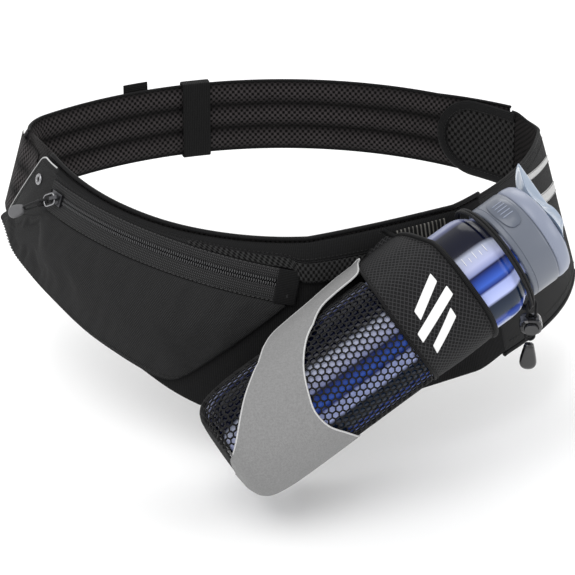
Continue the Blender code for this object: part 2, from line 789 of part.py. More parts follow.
def collar_path():
    """Section of the collar: round the bottle, then off its upper side to the panel."""
    radius = SLEEVE_RADIUS + 1.0
    path = [Vector((radius * math.cos(math.radians(a)), radius * math.sin(math.radians(a))))
            for a in spread(-150, 60, 21)]
    return path + [Vector(p) for p in ((8.5, 39.8), (-3, 44.5), (-14, 47.0), (-21.5, 48.0))]


def along_collar(name, start, end, thickness, look):
    path = collar_path()
    columns = []
    for i, point in enumerate(path):
        ahead = path[min(i + 1, len(path) - 1)] - path[max(i - 1, 0)]
        normal = Vector((ahead.y, -ahead.x)).normalized()
        outer = point + normal * thickness / 2
        inner = point - normal * thickness / 2
        columns.append([(bottle_point(s, *outer), bottle_point(s, *inner)) for s in (start, end)])
    return sheet(name, columns, look)


def build_web(name, start, end, forward, upper, look):
    """Strip of fabric from the pocket's side straight back to the main panel."""
    columns = []
    for along in spread(start, end, 6):
        reach = reach_panel(along, forward, upper, 1.2 + 1.0)
        column = []
        for share in (0, 0.5, 1):
            back = forward - reach * share
            column.append((bottle_point(along, back, upper + 0.7),
                           bottle_point(along, back, upper - 0.7)))
        columns.append(column)
    return sheet(name, columns, look)


def build_pocket():
    build_sleeve()
    build_grey_panel()
    along_collar("pocket_collar", SLEEVE_LENGTH + GAP, COLLAR_END, 1.6, RIPSTOP)
    along_collar("collar_binding", COLLAR_END + GAP, COLLAR_END + 3.2, 1.9, BINDING)
    build_web("pocket_web_upper", 22, SLEEVE_LENGTH, -14, 37.4, KNIT)
    build_web("pocket_web_lower", 22, SLEEVE_LENGTH, -14, -37.4, KNIT)
    patch("elastic_gusset", -67, -56, 8, 12, 4.6, 5.6, RIBBED)


# ---------------------------------------------------------------- bottle

def build_bottle():
    wall = 1.4
    inner = BOTTLE_RADIUS - wall
    profile = ((0.2, 0), (0.2, 27), (2.0, 32.5), (6.0, BOTTLE_RADIUS), (196, BOTTLE_RADIUS),
               (203, 34.6), (208, 30.6), (210, 29.9), (222, 29.9), (222, 27.6), (208, 27.6), (202, 33.0),
               (196, inner), (7, inner), (3.6, 31), (1.8, 26), (1.8, 0))
    lathe("bottle_body", profile, bottle_frame(), BOTTLE_BLUE, 36)
    build_cap()


def build_cap():
    base = CAP_START
    lathe("cap_seal", ((222.3, 27.4), (222.3, 29.8), (223.4, 29.8), (223.4, 27.4)),
          bottle_frame(), SEAL_RUBBER, 32)
    top = base + CAP_LENGTH
    profile = ((base, 30.4), (base, 32.6), (base + 1.5, CAP_RADIUS), (base + 20, CAP_RADIUS),
               (base + 21, 32.2), (base + 21, 26.6), (base + 11.6, 26.6), (base + 11.6, 30.4))
    lathe("cap_ring", profile, bottle_frame(), CAP_PLASTIC, 36)
    profile = ((base + 21.3, 26.8), (base + 21.3, 32.0), (base + 23, 33.0), (top - 3, 32.2),
               (top, 29), (top, 6.6), (top - 2, 6.6), (top - 2, 26.8))
    lathe("cap_lid", profile, bottle_frame(), LID_PLASTIC, 36)
    build_thumb_pad()
    lathe("spout", ((top - 8.4, 4.6), (top - 8.4, 8.2), (top - 7.4, 8.2), (top - 7.4, 6.2),
                    (top + 6, 6.2), (top + 8, 5.6), (top + 13, 5.2), (top + 13, 2.0),
                    (top + 1, 2.0), (top - 1, 4.6)), bottle_frame(), PALE_PLASTIC, 20)
    build_dust_cover(top + GAP)


def build_thumb_pad():
    """Raised oval pad on the side of the cap ring."""
    columns = []
    for along, half in ((1.6, 5), (3, 11), (8, 15), (14, 15), (17.6, 11), (19, 5)):
        column = []
        for angle in spread(42 - half, 42 + half, 4):
            column.append((bottle_polar(CAP_START + along, angle, CAP_RADIUS + 1.5),
                           bottle_polar(CAP_START + along, angle, CAP_RADIUS + GAP)))
        columns.append(column)
    return sheet("thumb_pad", columns, LID_PLASTIC)


def build_dust_cover(start):
    """Lobed clear cover over the spout, hollow underneath."""
    lobes = 4
    around = 40

    def ring(along, radius, swell):
        points = []
        for k in range(around):
            angle = 2 * math.pi * k / around
            lobe = max(0, math.cos(lobes * angle)) ** 1.5
            reach = radius + swell * lobe
            lift = along + 0.12 * swell * lobe
            points.append(bottle_point(lift, reach * math.cos(angle), reach * math.sin(angle)))
        return points

    rings = [ring(start, 24.0, 1.5), ring(start + 3.0, 29.0, 6.0), ring(start + 11, 27.0, 11.0),
             ring(start + 18, 21.0, 9.0), ring(start + 23, 13.0, 5.0)]
    inside = [ring(start + 19.5, 9.0, 1.0), ring(start + 14, 12.0, 3.0), ring(start, 17.0, 1.0)]
    return ring_stack("dust_cover", rings + inside, PALE_PLASTIC)


def ring_stack(name, rings, look, origin=(0, 0, 0)):
    """Body of revolution-like rings whose last ring joins its first one."""
    count = len(rings[0])
    points = [point for ring in rings for point in ring]
    centre = sum(rings[4], Vector()) / count
    inner_centre = sum(rings[5], Vector()) / count
    faces = []
    for k in range(len(rings)):
        m = (k + 1) % len(rings)
        if k == 4:
            continue
        for i in range(count):
            j = (i + 1) % count
            faces.append((k * count + i, k * count + j, m * count + j, m * count + i))
    top = len(points)
    points += [centre, inner_centre]
    for i in range(count):
        j = (i + 1) % count
        faces.append((4 * count + i, 4 * count + j, top))
        faces.append((5 * count + j, 5 * count + i, top + 1))
    return solid(name, points, faces, look, origin)


# ---------------------------------------------------------------- retention cord

TAIL_ANGLE = -74.0
TAIL_HALF = 2.7
TAIL_LENGTH = 23.0
LOCK_DROP = 13.4


def build_cord_ring():
    path = [bottle_polar(CORD_AT, angle, CORD_RING_RADIUS) for angle in spread(0, 360, 40)[:-1]]
    return tube("cord_ring", path, 1.1, CORD, closed=True)


def build_cord_anchor():
    """Hook on a short stem that ties the back of the cord ring to the panel."""
    outline = []
    for angle in (55, 90, 125, 150):
        outline.append((2.8 * math.cos(math.radians(angle)), 2.8 * math.sin(math.radians(angle))))
    outline += [(-7.4, 1.4), (-7.4, -1.4)]
    for angle in (210, 235, 270, 305):
        outline.append((2.8 * math.cos(math.radians(angle)), 2.8 * math.sin(math.radians(angle))))
    for angle in (305, 270, 225, 180, 135, 90, 55):
        outline.append((1.7 * math.cos(math.radians(angle)), 1.7 * math.sin(math.radians(angle))))
    centre = bottle_point(CORD_AT, -CORD_RING_RADIUS, 0)
    return prism("cord_anchor", outline, (centre, BOTTLE_FRONT, BOTTLE_AXIS, BOTTLE_UPPER),
                 -3.5, 3.5, WEBBING)


def tail_frame():
    """Where the hanging tail loops over the cord ring: point, down, cross and swing axis."""
    centre = bottle_polar(CORD_AT, TAIL_ANGLE, CORD_RING_RADIUS)
    before = bottle_polar(CORD_AT, TAIL_ANGLE - 1, CORD_RING_RADIUS)
    swing = (centre - before).normalized()
    down = Vector((0, 0, -1))
    swing = (swing - down * swing.dot(down)).normalized()
    cross = down.cross(swing)
    return centre, down, cross, swing


def build_tail():
    centre, down, cross, _ = tail_frame()
    path = []
    for x, y in round_outline(TAIL_LENGTH + 2 * TAIL_HALF, 2 * TAIL_HALF, TAIL_HALF, 4):
        path.append(centre + down * (x + TAIL_LENGTH / 2 - 0.7) + cross * y)
    tube("cord_tail", path, 0.9, CORD, closed=True, origin=centre)
    outline = [(0, 3.0), (4, 3.8), (10, 5.2), (14.5, 5.8), (18, 4.6), (19.6, 2.0), (19.6, -2.0),
               (18, -4.6), (14.5, -5.8), (10, -5.2), (4, -3.8), (0, -3.0)]
    start = centre + down * (TAIL_LENGTH + TAIL_HALF + 1.4)
    rings = []
    swing = down.cross(cross)
    for height, scale in ((-3.2, 0.65), (-1.8, 1), (1.8, 1), (3.2, 0.65)):
        rings.append([start + down * (10 + (x - 10) * scale) + cross * (y * scale)
                      + swing * height for x, y in outline])
    loft("cord_pull", rings, BLACK_PLASTIC, centre)


def build_cord_lock():
    """Barrel on the tail: the plunger enters from the front, across the cord slot."""
    centre, down, cross, swing = tail_frame()
    middle = centre + down * LOCK_DROP
    frame = (middle, down, cross, swing)
    rings = []
    for height, scale in ((-6.4, 0.75), (-5.4, 0.94), (-3.0, 1), (3.0, 1), (5.4, 0.94), (6.4, 0.75)):
        rings.append([middle + down * (x * scale) + cross * (y * scale) + swing * height
                      for x, y in round_outline(10.4, 14.4, 4.4, 3)])
    body = loft("cord_lock_body", rings, BLACK_PLASTIC, centre)
    bore = prism("lock_bore", round_outline(7.6, 9.4, 3.6, 4), frame, -5.0, 12.0, METAL)
    slot_frame = (middle, cross, swing, down)
    slot = prism("lock_slot", round_outline(8.2, 2.8, 1.2, 3), slot_frame, -9, 9, METAL)
    cut(body, bore)
    cut(body, slot)
    plunger = prism("cord_lock_plunger", round_outline(6.8, 8.6, 3.3, 4), frame, -2.4, 9.4,
                    BLACK_PLASTIC, centre)
    window = prism("plunger_window", round_outline(7.8, 5.2, 1.0, 3),
                   (middle + swing * 1.25, cross, swing, down), -9, 9, METAL)
    cut(plunger, window)


# ---------------------------------------------------------------- assembly

def build_all():
    clear_scene()
    build_front_layers()
    build_zip_tapes()
    build_pouch_front()
    build_end_panel()
    build_eyelet()
    build_top_band()
    build_top_piping()
    build_slider()
    build_slider_crown()
    build_pull()
    build_wing()
    build_wing_binding()
    build_stripe("stripe_upper", ((-31, 18), (-15, 11), (-2, 2), (14, -8)), 5.0)
    build_stripe("stripe_lower", ((-31, 0), (-15, -10), (-2, -19), (14, -30)), 8.0)
    build_tab()
    build_tab_binding()
    patch("loop_patch", 46.5, 56.5, 21, 0, TAB_OUT + 2.9, TAB_OUT + 3.7, WEBBING)
    build_back_strap()
    patch("hook_patch", 48, 57, 21, 0, STRAP_INNER - 1.0, STRAP_INNER - GAP, BINDING,
          strap_pivot())
    band_round_strap("keeper_band", KEEPER_TURN, 5.1, 0.5, 1.0, WEBBING, BACK_CENTRE)
    build_outer_loop()
    build_pocket()
    build_bottle()
    build_cord_ring()
    build_cord_anchor()
    build_tail()
    build_cord_lock()


build_all()
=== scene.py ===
"""Looks of the waist pack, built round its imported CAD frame.

Shapes are worked out in millimetres from the middle of the waist oval at the belt's mid
height; world() moves a point from there to the frame's metres. Every fabric carries a chart
(a UV layer) in millimetres, so that its weave has its real size.
"""

import math

import bmesh
import bpy
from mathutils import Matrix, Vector

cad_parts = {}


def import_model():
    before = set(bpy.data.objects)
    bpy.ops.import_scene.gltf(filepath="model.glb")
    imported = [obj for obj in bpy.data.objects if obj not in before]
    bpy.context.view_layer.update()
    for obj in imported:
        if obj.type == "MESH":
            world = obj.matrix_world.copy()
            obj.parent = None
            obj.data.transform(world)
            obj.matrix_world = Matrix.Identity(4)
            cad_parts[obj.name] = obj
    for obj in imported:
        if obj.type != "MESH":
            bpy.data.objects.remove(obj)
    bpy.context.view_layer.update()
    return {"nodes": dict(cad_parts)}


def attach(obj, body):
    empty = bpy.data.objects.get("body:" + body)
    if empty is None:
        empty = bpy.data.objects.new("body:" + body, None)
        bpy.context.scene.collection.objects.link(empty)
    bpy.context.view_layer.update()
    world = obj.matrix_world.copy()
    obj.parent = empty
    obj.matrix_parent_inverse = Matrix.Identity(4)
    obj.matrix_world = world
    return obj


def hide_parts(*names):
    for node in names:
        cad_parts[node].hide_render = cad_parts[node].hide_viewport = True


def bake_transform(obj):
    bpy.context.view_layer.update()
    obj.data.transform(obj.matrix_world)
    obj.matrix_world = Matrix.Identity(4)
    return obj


MM = 0.001
FRAME_ORIGIN = Vector((8.320, -79.758, -131.530))

# Waist oval: four arcs, measured at the top edge of the belt.
BELT_TOP = 28
FRONT_CENTRE = Vector((0, 40, 0))
FRONT_RADIUS = 184
SIDE_CENTRE = Vector((152, 15.4, 0))
SIDE_RADIUS = 30
BACK_CENTRE = Vector((0, -138, 0))
BACK_RADIUS = 246
SIDE_START = -9.2
SIDE_END = 45.3
FLARE = math.tan(math.radians(17))
BACK_FLARE = 0.15
FLAT_START = -85
FLAT_END = -53

# Bottle and pocket.
BOTTLE_BASE = Vector((-32.2, -237.0, -83.0))
BOTTLE_TIP = Vector((139.3, -152.6, 11.3))
BOTTLE_RADIUS = 36.2
SLEEVE_RADIUS = 37.0
CORD_AT = 207.5
CORD_RING_RADIUS = 37.9
CAP_START = 212.4
CAP_LENGTH = 32
CAP_RADIUS = 33.3

# Zip.
ZIP_OUT = 5.0

# Heights of the front's edges against the turn of the outward normal, in degrees.
TOP_EDGE = ((-169, 29), (-158, 35), (-150, 35), (-140, 31), (-125, 25), (-110, 20.5), (-90, 18),
            (-72, 19), (-55, 22), (-40, 25.5), (-20, 28), (20, 28), (45.3, 32.5), (62, 32.5))
LOW_EDGE = ((-169, -28), (-162, -28), (-155, -37), (-145, -44), (-136, -51), (-128, -59),
            (-118, -69), (-108, -84), (-100, -92), (-85, -95), (-53, -85), (-44, -80),
            (-5, -80), (12, -70), (30, -46), (45.3, -31), (62, -28))

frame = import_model()


# ---------------------------------------------------------------- numbers and curves

def world(point):
    return (Vector(point) - FRAME_ORIGIN) * MM


def spread(start, end, steps):
    return [start + (end - start) * k / steps for k in range(steps + 1)]


def from_table(table, x):
    """Value read off a table of (x, y) pairs, straight between its rows."""
    if x <= table[0][0]:
        return table[0][1]
    for (x0, y0), (x1, y1) in zip(table, table[1:]):
        if x <= x1:
            return y0 + (y1 - y0) * (x - x0) / (x1 - x0)
    return table[-1][1]


def smooth_table(table, x):
    """Like from_table, on a smooth curve through the rows."""
    if x <= table[0][0]:
        return table[0][1]
    if x >= table[-1][0]:
        return table[-1][1]
    last = len(table) - 1
    i = next(k for k in range(last) if x <= table[k + 1][0])

    def slope(k):
        a = table[max(k - 1, 0)]
        b = table[min(k + 1, last)]
        return (b[1] - a[1]) / (b[0] - a[0])

    (x0, y0), (x1, y1) = table[i], table[i + 1]
    width = x1 - x0
    t = (x - x0) / width
    return (y0 * (1 + 2 * t) * (1 - t) ** 2 + y1 * t * t * (3 - 2 * t)
            + width * (slope(i) * t * (1 - t) ** 2 - slope(i + 1) * t * t * (1 - t)))


def smooth_list(values, x):
    """Value at a fractional place in a list, on a smooth curve through all of it."""
    last = len(values) - 1
    i = min(max(int(x), 0), last - 1)
    t = x - i
    b, c = values[i], values[i + 1]
    a = values[i - 1] if i else b * 2 - c
    d = values[i + 2] if i + 2 <= last else c * 2 - b
    return (b * 2 + (c - a) * t + (a * 2 - b * 5 + c * 4 - d) * (t * t)
            + (b * 3 - a - c * 3 + d) * (t * t * t)) * 0.5


def rounded(t):
    """Rises from 0 to 1 like a quarter circle."""
    t = min(max(t, 0), 1)
    return math.sqrt(1 - (1 - t) ** 2)


def polyline_at(path, lengths, distance):
    """Point and direction at a distance along a path of points."""
    i = 0
    while i < len(path) - 2 and lengths[i + 1] < distance:
        i += 1
    step = path[i + 1] - path[i]
    share = (distance - lengths[i]) / max(lengths[i + 1] - lengths[i], 1e-9)
    return path[i] + step * share, step.normalized()


def running_lengths(path):
    lengths = [0.0]
    for a, b in zip(path, path[1:]):
        lengths.append(lengths[-1] + (b - a).length)
    return lengths


# ---------------------------------------------------------------- the waist ring

def arc_of(turn):
    """Centre, radius and flare share of the arc whose outward normal has this turn."""
    if turn < SIDE_START or turn > 180 - SIDE_START:
        return FRONT_CENTRE, FRONT_RADIUS, 1
    if turn <= SIDE_END:
        share = (turn - SIDE_START) / (SIDE_END - SIDE_START)
        return SIDE_CENTRE, SIDE_RADIUS, 1 + (BACK_FLARE - 1) * share
    if turn >= 180 - SIDE_END:
        left = Vector((-SIDE_CENTRE.x, SIDE_CENTRE.y, 0))
        share = (180 - SIDE_START - turn) / (SIDE_END - SIDE_START)
        return left, SIDE_RADIUS, 1 + (BACK_FLARE - 1) * share
    return BACK_CENTRE, BACK_RADIUS, BACK_FLARE


def ring_point(turn, height, out):
    """Point of the ring: turn of its outward normal, height, distance off the surface."""
    if turn < SIDE_START - 180:
        turn += 360
    if FLAT_START < turn < FLAT_END:
        share = (turn - FLAT_START) / (FLAT_END - FLAT_START)
        return ring_point(FLAT_START, height, out).lerp(ring_point(FLAT_END, height, out), share)
    centre, radius, flare = arc_of(turn)
    reach = radius + FLARE * flare * (BELT_TOP - height) + out
    angle = math.radians(turn)
    return Vector((centre.x + reach * math.cos(angle), centre.y + reach * math.sin(angle), height))


def top_edge(turn):
    return smooth_table(TOP_EDGE, turn)


def low_edge(turn):
    return smooth_table(LOW_EDGE, turn)


# Sewn edges of the zip's band, below and above its middle line.
SEAM_BELOW = 12.6
SEAM_ABOVE = 9.9


def circle_through(a, b, c):
    ab = b - a
    ac = c - a
    axis = ab.cross(ac)
    arm = (axis.cross(ab) * ac.length_squared + ac.cross(axis) * ab.length_squared)
    arm /= 2 * axis.length_squared
    return a + arm, axis.normalized(), arm.length


TRACK_START = ring_point(-141, 17.0, ZIP_OUT)
TRACK_MIDDLE = ring_point(-115, 8.0, ZIP_OUT)
TRACK_END = ring_point(-91, -5.5, ZIP_OUT)
TRACK_CENTRE, TRACK_AXIS, TRACK_RADIUS = circle_through(TRACK_START, TRACK_MIDDLE, TRACK_END)
TRACK_ARM = (TRACK_START - TRACK_CENTRE).normalized()
TRACK_SIDE = TRACK_AXIS.cross(TRACK_ARM)


def track_tilt():
    up = (ring_point(-115, 9.0, ZIP_OUT) - TRACK_MIDDLE).normalized()
    outward = (TRACK_MIDDLE - TRACK_CENTRE).normalized()
    return math.atan2(-up.dot(outward), up.dot(TRACK_AXIS))


TRACK_TILT = track_tilt()


def track_frame(angle):
    """Point on the zip's centre line with its along, across and outward directions."""
    turn = math.radians(angle)
    arm = TRACK_ARM * math.cos(turn) + TRACK_SIDE * math.sin(turn)
    along = TRACK_AXIS.cross(arm)
    across = TRACK_AXIS * math.cos(TRACK_TILT) - arm * math.sin(TRACK_TILT)
    outward = arm * math.cos(TRACK_TILT) + TRACK_AXIS * math.sin(TRACK_TILT)
    return TRACK_CENTRE + arm * TRACK_RADIUS, along, across, outward


def track_point(angle, across, out):
    centre, _, up, outward = track_frame(angle)
    return centre + up * across + outward * out


def track_angle(point):
    arm = point - TRACK_CENTRE
    return math.degrees(math.atan2(arm.dot(TRACK_SIDE), arm.dot(TRACK_ARM)))


TRACK_LEFT = -3.0
TRACK_RIGHT = track_angle(TRACK_END) + 2.5


def front_coordinates(point):
    """Turn, height and distance off the surface of a point by the curved front."""
    arm = point - FRONT_CENTRE
    off = arm.xy.length - FRONT_RADIUS - FLARE * (BELT_TOP - point.z)
    return Vector((math.degrees(math.atan2(arm.y, arm.x)), point.z, off))


BOTTLE_AXIS = (BOTTLE_TIP - BOTTLE_BASE).normalized()
SIGHT_ANGLE = 28
SIGHT = Vector((0, math.cos(math.radians(SIGHT_ANGLE)), -math.sin(math.radians(SIGHT_ANGLE))))
BOTTLE_FRONT = -(SIGHT - BOTTLE_AXIS * SIGHT.dot(BOTTLE_AXIS)).normalized()
BOTTLE_UPPER = BOTTLE_FRONT.cross(BOTTLE_AXIS)


def bottle_point(along, forward, upper):
    return BOTTLE_BASE + BOTTLE_AXIS * along + BOTTLE_FRONT * forward + BOTTLE_UPPER * upper


def bottle_polar(along, angle, radius):
    """Angle in degrees from the pocket's front line towards its upper side."""
    turn = math.radians(angle)
    return bottle_point(along, radius * math.cos(turn), radius * math.sin(turn))


def bottle_frame(along=0):
    return BOTTLE_BASE + BOTTLE_AXIS * along, BOTTLE_AXIS, BOTTLE_FRONT, BOTTLE_UPPER


# ---------------------------------------------------------------- node materials

def node(tree, kind, inputs=None, **settings):
    """New shader node; an input that is a socket is linked, any other value is set."""
    made = tree.nodes.new(kind)
    for key, value in settings.items():
        setattr(made, key, value)
    for key, value in (inputs or {}).items():
        if isinstance(value, bpy.types.NodeSocket):
            tree.links.new(value, made.inputs[key])
        else:
            made.inputs[key].default_value = value
    return made


def maths(tree, operation, a, b=0.0, clamp=False):
    made = node(tree, "ShaderNodeMath", {0: a, 1: b}, operation=operation, use_clamp=clamp)
    return made.outputs[0]


def scaled(tree, x, factor, shift):
    """x times factor, plus shift."""
    return node(tree, "ShaderNodeMath", {0: x, 1: factor, 2: shift},
                operation='MULTIPLY_ADD').outputs[0]


def blend_colours(tree, share, low, high):
    made = node(tree, "ShaderNodeMix", data_type='RGBA')
    for key, value in (("Factor", share), ("A", low), ("B", high)):
        socket = next(s for s in made.inputs if s.name == key and s.type in
                      (('VALUE',) if key == "Factor" else ('RGBA',)))
        if isinstance(value, bpy.types.NodeSocket):
            tree.links.new(value, socket)
        else:
            socket.default_value = value if key == "Factor" else (*value, 1)
    return next(s for s in made.outputs if s.type == 'RGBA')


def chart_sockets(tree):
    place = node(tree, "ShaderNodeUVMap", uv_map="chart").outputs[0]
    parts = node(tree, "ShaderNodeSeparateXYZ", {0: place})
    return parts.outputs[0], parts.outputs[1]


def wave(tree, x, pitch, shift=0.0):
    """0 to 1 and back once every pitch millimetres."""
    return half_up(tree, maths(tree, 'COSINE', scaled(tree, x, 2 * math.pi / pitch, shift)))


def half_up(tree, x):
    """-1..1 to 0..1."""
    return scaled(tree, x, 0.5, 0.5)


def knit(pitch, row):
    """Columns of small V stitches."""
    def height(tree, u, v):
        share = maths(tree, 'FRACT', maths(tree, 'DIVIDE', u, pitch))
        lean = maths(tree, 'ABSOLUTE', maths(tree, 'SUBTRACT', share, 0.5))
        slid = maths(tree, 'ADD', v, maths(tree, 'MULTIPLY', lean, row * 1.6))
        stitch = wave(tree, slid, row)
        middle = maths(tree, 'MULTIPLY', maths(tree, 'SUBTRACT', 0.5, lean), 2.0)
        column = maths(tree, 'POWER', middle, 0.6)
        return maths(tree, 'MULTIPLY', stitch, column)
    return height


def holes(pitch, row, sharp=3.0):
    """Spacer mesh: rounded holes on a staggered grid; 0 in a hole."""
    def height(tree, u, v):
        angles = [maths(tree, 'COSINE', maths(tree, 'MULTIPLY', x, 2 * math.pi / step))
                  for x, step in ((u, pitch), (v, row))]
        peak = half_up(tree, maths(tree, 'MULTIPLY', angles[0], angles[1]))
        risen = scaled(tree, peak, -sharp, sharp * 0.78)
        return maths(tree, 'MAXIMUM', maths(tree, 'MINIMUM', risen, 1.0), 0.0)
    return height


def quilted(pattern, pitch):
    """A pattern that sinks into shade along sewn rows; the chart starts on a row's crown."""
    def height(tree, u, v):
        crown = maths(tree, 'POWER', wave(tree, v, pitch), 0.55)
        return maths(tree, 'MULTIPLY', pattern(tree, u, v), scaled(tree, crown, 0.88, 0.12))
    return height


def ribs(pitch, across=False, depth=0.25):
    """Fine woven ribs with a thread crossing them."""
    def height(tree, u, v):
        first, second = (v, u) if across else (u, v)
        thread = wave(tree, second, pitch * 1.7)
        rib = wave(tree, first, pitch)
        share = maths(tree, 'ADD', maths(tree, 'MULTIPLY', thread, depth), 1 - depth)
        return maths(tree, 'MULTIPLY', rib, share)
    return height


def ripstop(pitch):
    """Diamonds of fine thread on a plain weave."""
    def height(tree, u, v):
        lines = []
        for sign in (1.0, -1.0):
            slant = maths(tree, 'ADD', u, maths(tree, 'MULTIPLY', v, 1.25 * sign))
            lines.append(maths(tree, 'POWER', wave(tree, slant, pitch), 9.0))
        weave = maths(tree, 'MULTIPLY', wave(tree, u, 0.9), wave(tree, v, 0.9))
        return maths(tree, 'ADD', maths(tree, 'MAXIMUM', lines[0], lines[1]),
                     maths(tree, 'MULTIPLY', weave, 0.12))
    return height


def braid(pitch):
    def height(tree, u, v):
        lines = []
        for sign in (1.0, -1.0):
            slant = maths(tree, 'ADD', v, maths(tree, 'MULTIPLY', u, sign))
            lines.append(wave(tree, slant, pitch))
        return maths(tree, 'MAXIMUM', lines[0], lines[1])
    return height


def fan_lines(tree, u, v):
    """Light crowns of the gathered ridges, with painted shade in the grooves between them."""
    return maths(tree, 'POWER', wave(tree, u, FAN_PITCH, math.pi), 4.0)


def pile(pitch):
    """Loop or hook pile: small uneven tufts."""
    def height(tree, u, v):
        place = node(tree, "ShaderNodeCombineXYZ", {0: u, 1: v})
        tufts = node(tree, "ShaderNodeTexVoronoi", {"Vector": place.outputs[0],
                                                   "Scale": 1.0 / pitch})
        return maths(tree, 'SUBTRACT', 1.0, tufts.outputs["Distance"])
    return height


def new_material(name):
    material = bpy.data.materials.new(name)
    material.use_nodes = True
    return material, material.node_tree, material.node_tree.nodes["Principled BSDF"]


def noise(tree, scale, **inputs):
    return node(tree, "ShaderNodeTexNoise", {"Vector": object_place(tree), "Scale": scale, **inputs})


def set_bump(tree, shader, strength, distance, height):
    bump = node(tree, "ShaderNodeBump", {"Strength": strength, "Distance": distance * MM,
                                         "Height": height})
    tree.links.new(bump.outputs[0], shader.inputs["Normal"])


def fabric(name, low, high, height, depth, roughness=0.85, sheen=0.02, patch=0.25):
    """Cloth whose colour and bump follow a height pattern, with soft uneven patches."""
    material, tree, shader = new_material(name)
    u, v = chart_sockets(tree)
    raised = height(tree, u, v)
    spot = noise(tree, 26.0, Detail=4.0)
    fuzz = noise(tree, 900.0, Detail=2.0)
    colour = blend_colours(tree, maths(tree, 'MULTIPLY', raised, 1.0, True), low, high)
    uneven = scaled(tree, spot.outputs[0], patch, 1 - patch / 2)
    grain = scaled(tree, fuzz.outputs[0], 0.5, 0.75)
    shade = maths(tree, 'MULTIPLY', uneven, grain)
    tinted = node(tree, "ShaderNodeVectorMath", {0: colour, 1: shade}, operation='MULTIPLY')
    tree.links.new(tinted.outputs[0], shader.inputs["Base Color"])
    rough = scaled(tree, spot.outputs[0], 0.16, roughness - 0.08)
    tree.links.new(rough, shader.inputs["Roughness"])
    shader.inputs["Sheen Weight"].default_value = sheen
    shader.inputs["Sheen Roughness"].default_value = 0.4
    shader.inputs["Specular IOR Level"].default_value = 0.12
    surface = maths(tree, 'ADD', raised, maths(tree, 'MULTIPLY', fuzz.outputs[0], 0.15))
    set_bump(tree, shader, 1.0, depth, surface)
    return material


def object_place(tree):
    return node(tree, "ShaderNodeTexCoord").outputs["Object"]


def hard(name, colour, roughness, metallic=0.0, coat=0.0, wear=0.12, grain=400.0, depth=0.02,
         **inputs):
    """Moulded or metal part: fine grain, uneven gloss and lighter worn edges."""
    material, tree, shader = new_material(name)
    smudge = noise(tree, 60.0, Detail=5.0)
    fine = noise(tree, grain, Detail=3.0)
    edge = node(tree, "ShaderNodeNewGeometry").outputs["Pointiness"]
    worn = maths(tree, 'MULTIPLY', maths(tree, 'SUBTRACT', edge, 0.53), 8.0, True)
    lighter = tuple(min(1.0, c * 1.5 + 0.02) for c in colour)
    tint = blend_colours(tree, maths(tree, 'MULTIPLY', worn, wear * 4), colour, lighter)
    tree.links.new(tint, shader.inputs["Base Color"])
    rough = scaled(tree, smudge.outputs[0], 0.2, roughness - 0.1)
    tree.links.new(rough, shader.inputs["Roughness"])
    shader.inputs["Metallic"].default_value = metallic
    shader.inputs["Coat Weight"].default_value = coat
    for key, value in inputs.items():
        shader.inputs[key.replace("_", " ")].default_value = value
    set_bump(tree, shader, 0.6, depth, fine.outputs[0])
    return material


# Colours across the bottle's width: its blue tint with painted reflections, painted shade and painted
# highlights.
BOTTLE_TINT_AND_REFLECTIONS = ((0.0, (0.42, 0.45, 0.62)), (0.035, (0.06, 0.07, 0.16)), (0.06, (0.001, 0.002, 0.010)),
                (0.27, (0.002, 0.003, 0.014)), (0.31, (0.36, 0.39, 0.50)), (0.42, (0.42, 0.45, 0.66)),
                (0.475, (0.22, 0.25, 0.46)), (0.49, (0.002, 0.004, 0.04)), (0.53, (0.012, 0.04, 0.25)),
                (0.60, (0.04, 0.11, 0.52)), (0.645, (0.01, 0.02, 0.14)), (0.665, (0.34, 0.40, 0.72)),
                (0.76, (0.46, 0.52, 0.85)), (0.785, (0.003, 0.010, 0.03)), (0.90, (0.008, 0.02, 0.045)),
                (0.925, (0.03, 0.06, 0.30)), (0.965, (0.10, 0.16, 0.5)), (1.0, (0.7, 0.75, 0.9)))


def bottle_look():
    """Bottle plastic: tinted blue, with painted reflections and highlights in long bands of light and dark
    blue across its width.
    """
    material, tree, shader = new_material("bottle_plastic_look")
    angle = maths(tree, 'DIVIDE', chart_sockets(tree)[0], BOTTLE_RADIUS)
    wobble = noise(tree, 18.0)
    bent = scaled(tree, wobble.outputs[0], 0.05, maths(tree, 'SINE', angle))
    place = scaled(tree, bent, -0.5, 0.51)
    ramp = node(tree, "ShaderNodeValToRGB", {0: place})
    stops = ramp.color_ramp.elements
    while len(stops) < len(BOTTLE_TINT_AND_REFLECTIONS):
        stops.new(0.5)
    for stop, (at, colour) in zip(stops, BOTTLE_TINT_AND_REFLECTIONS):
        stop.position = at
        stop.color = (*colour, 1)
    tree.links.new(ramp.outputs[0], shader.inputs["Base Color"])
    shader.inputs["Roughness"].default_value = 0.16
    shader.inputs["Specular IOR Level"].default_value = 0.22
    shader.inputs["Coat Weight"].default_value = 0.04
    shader.inputs["Coat Roughness"].default_value = 0.05
    ripple = noise(tree, 40.0)
    set_bump(tree, shader, 0.3, 0.3, ripple.outputs[0])
    return material


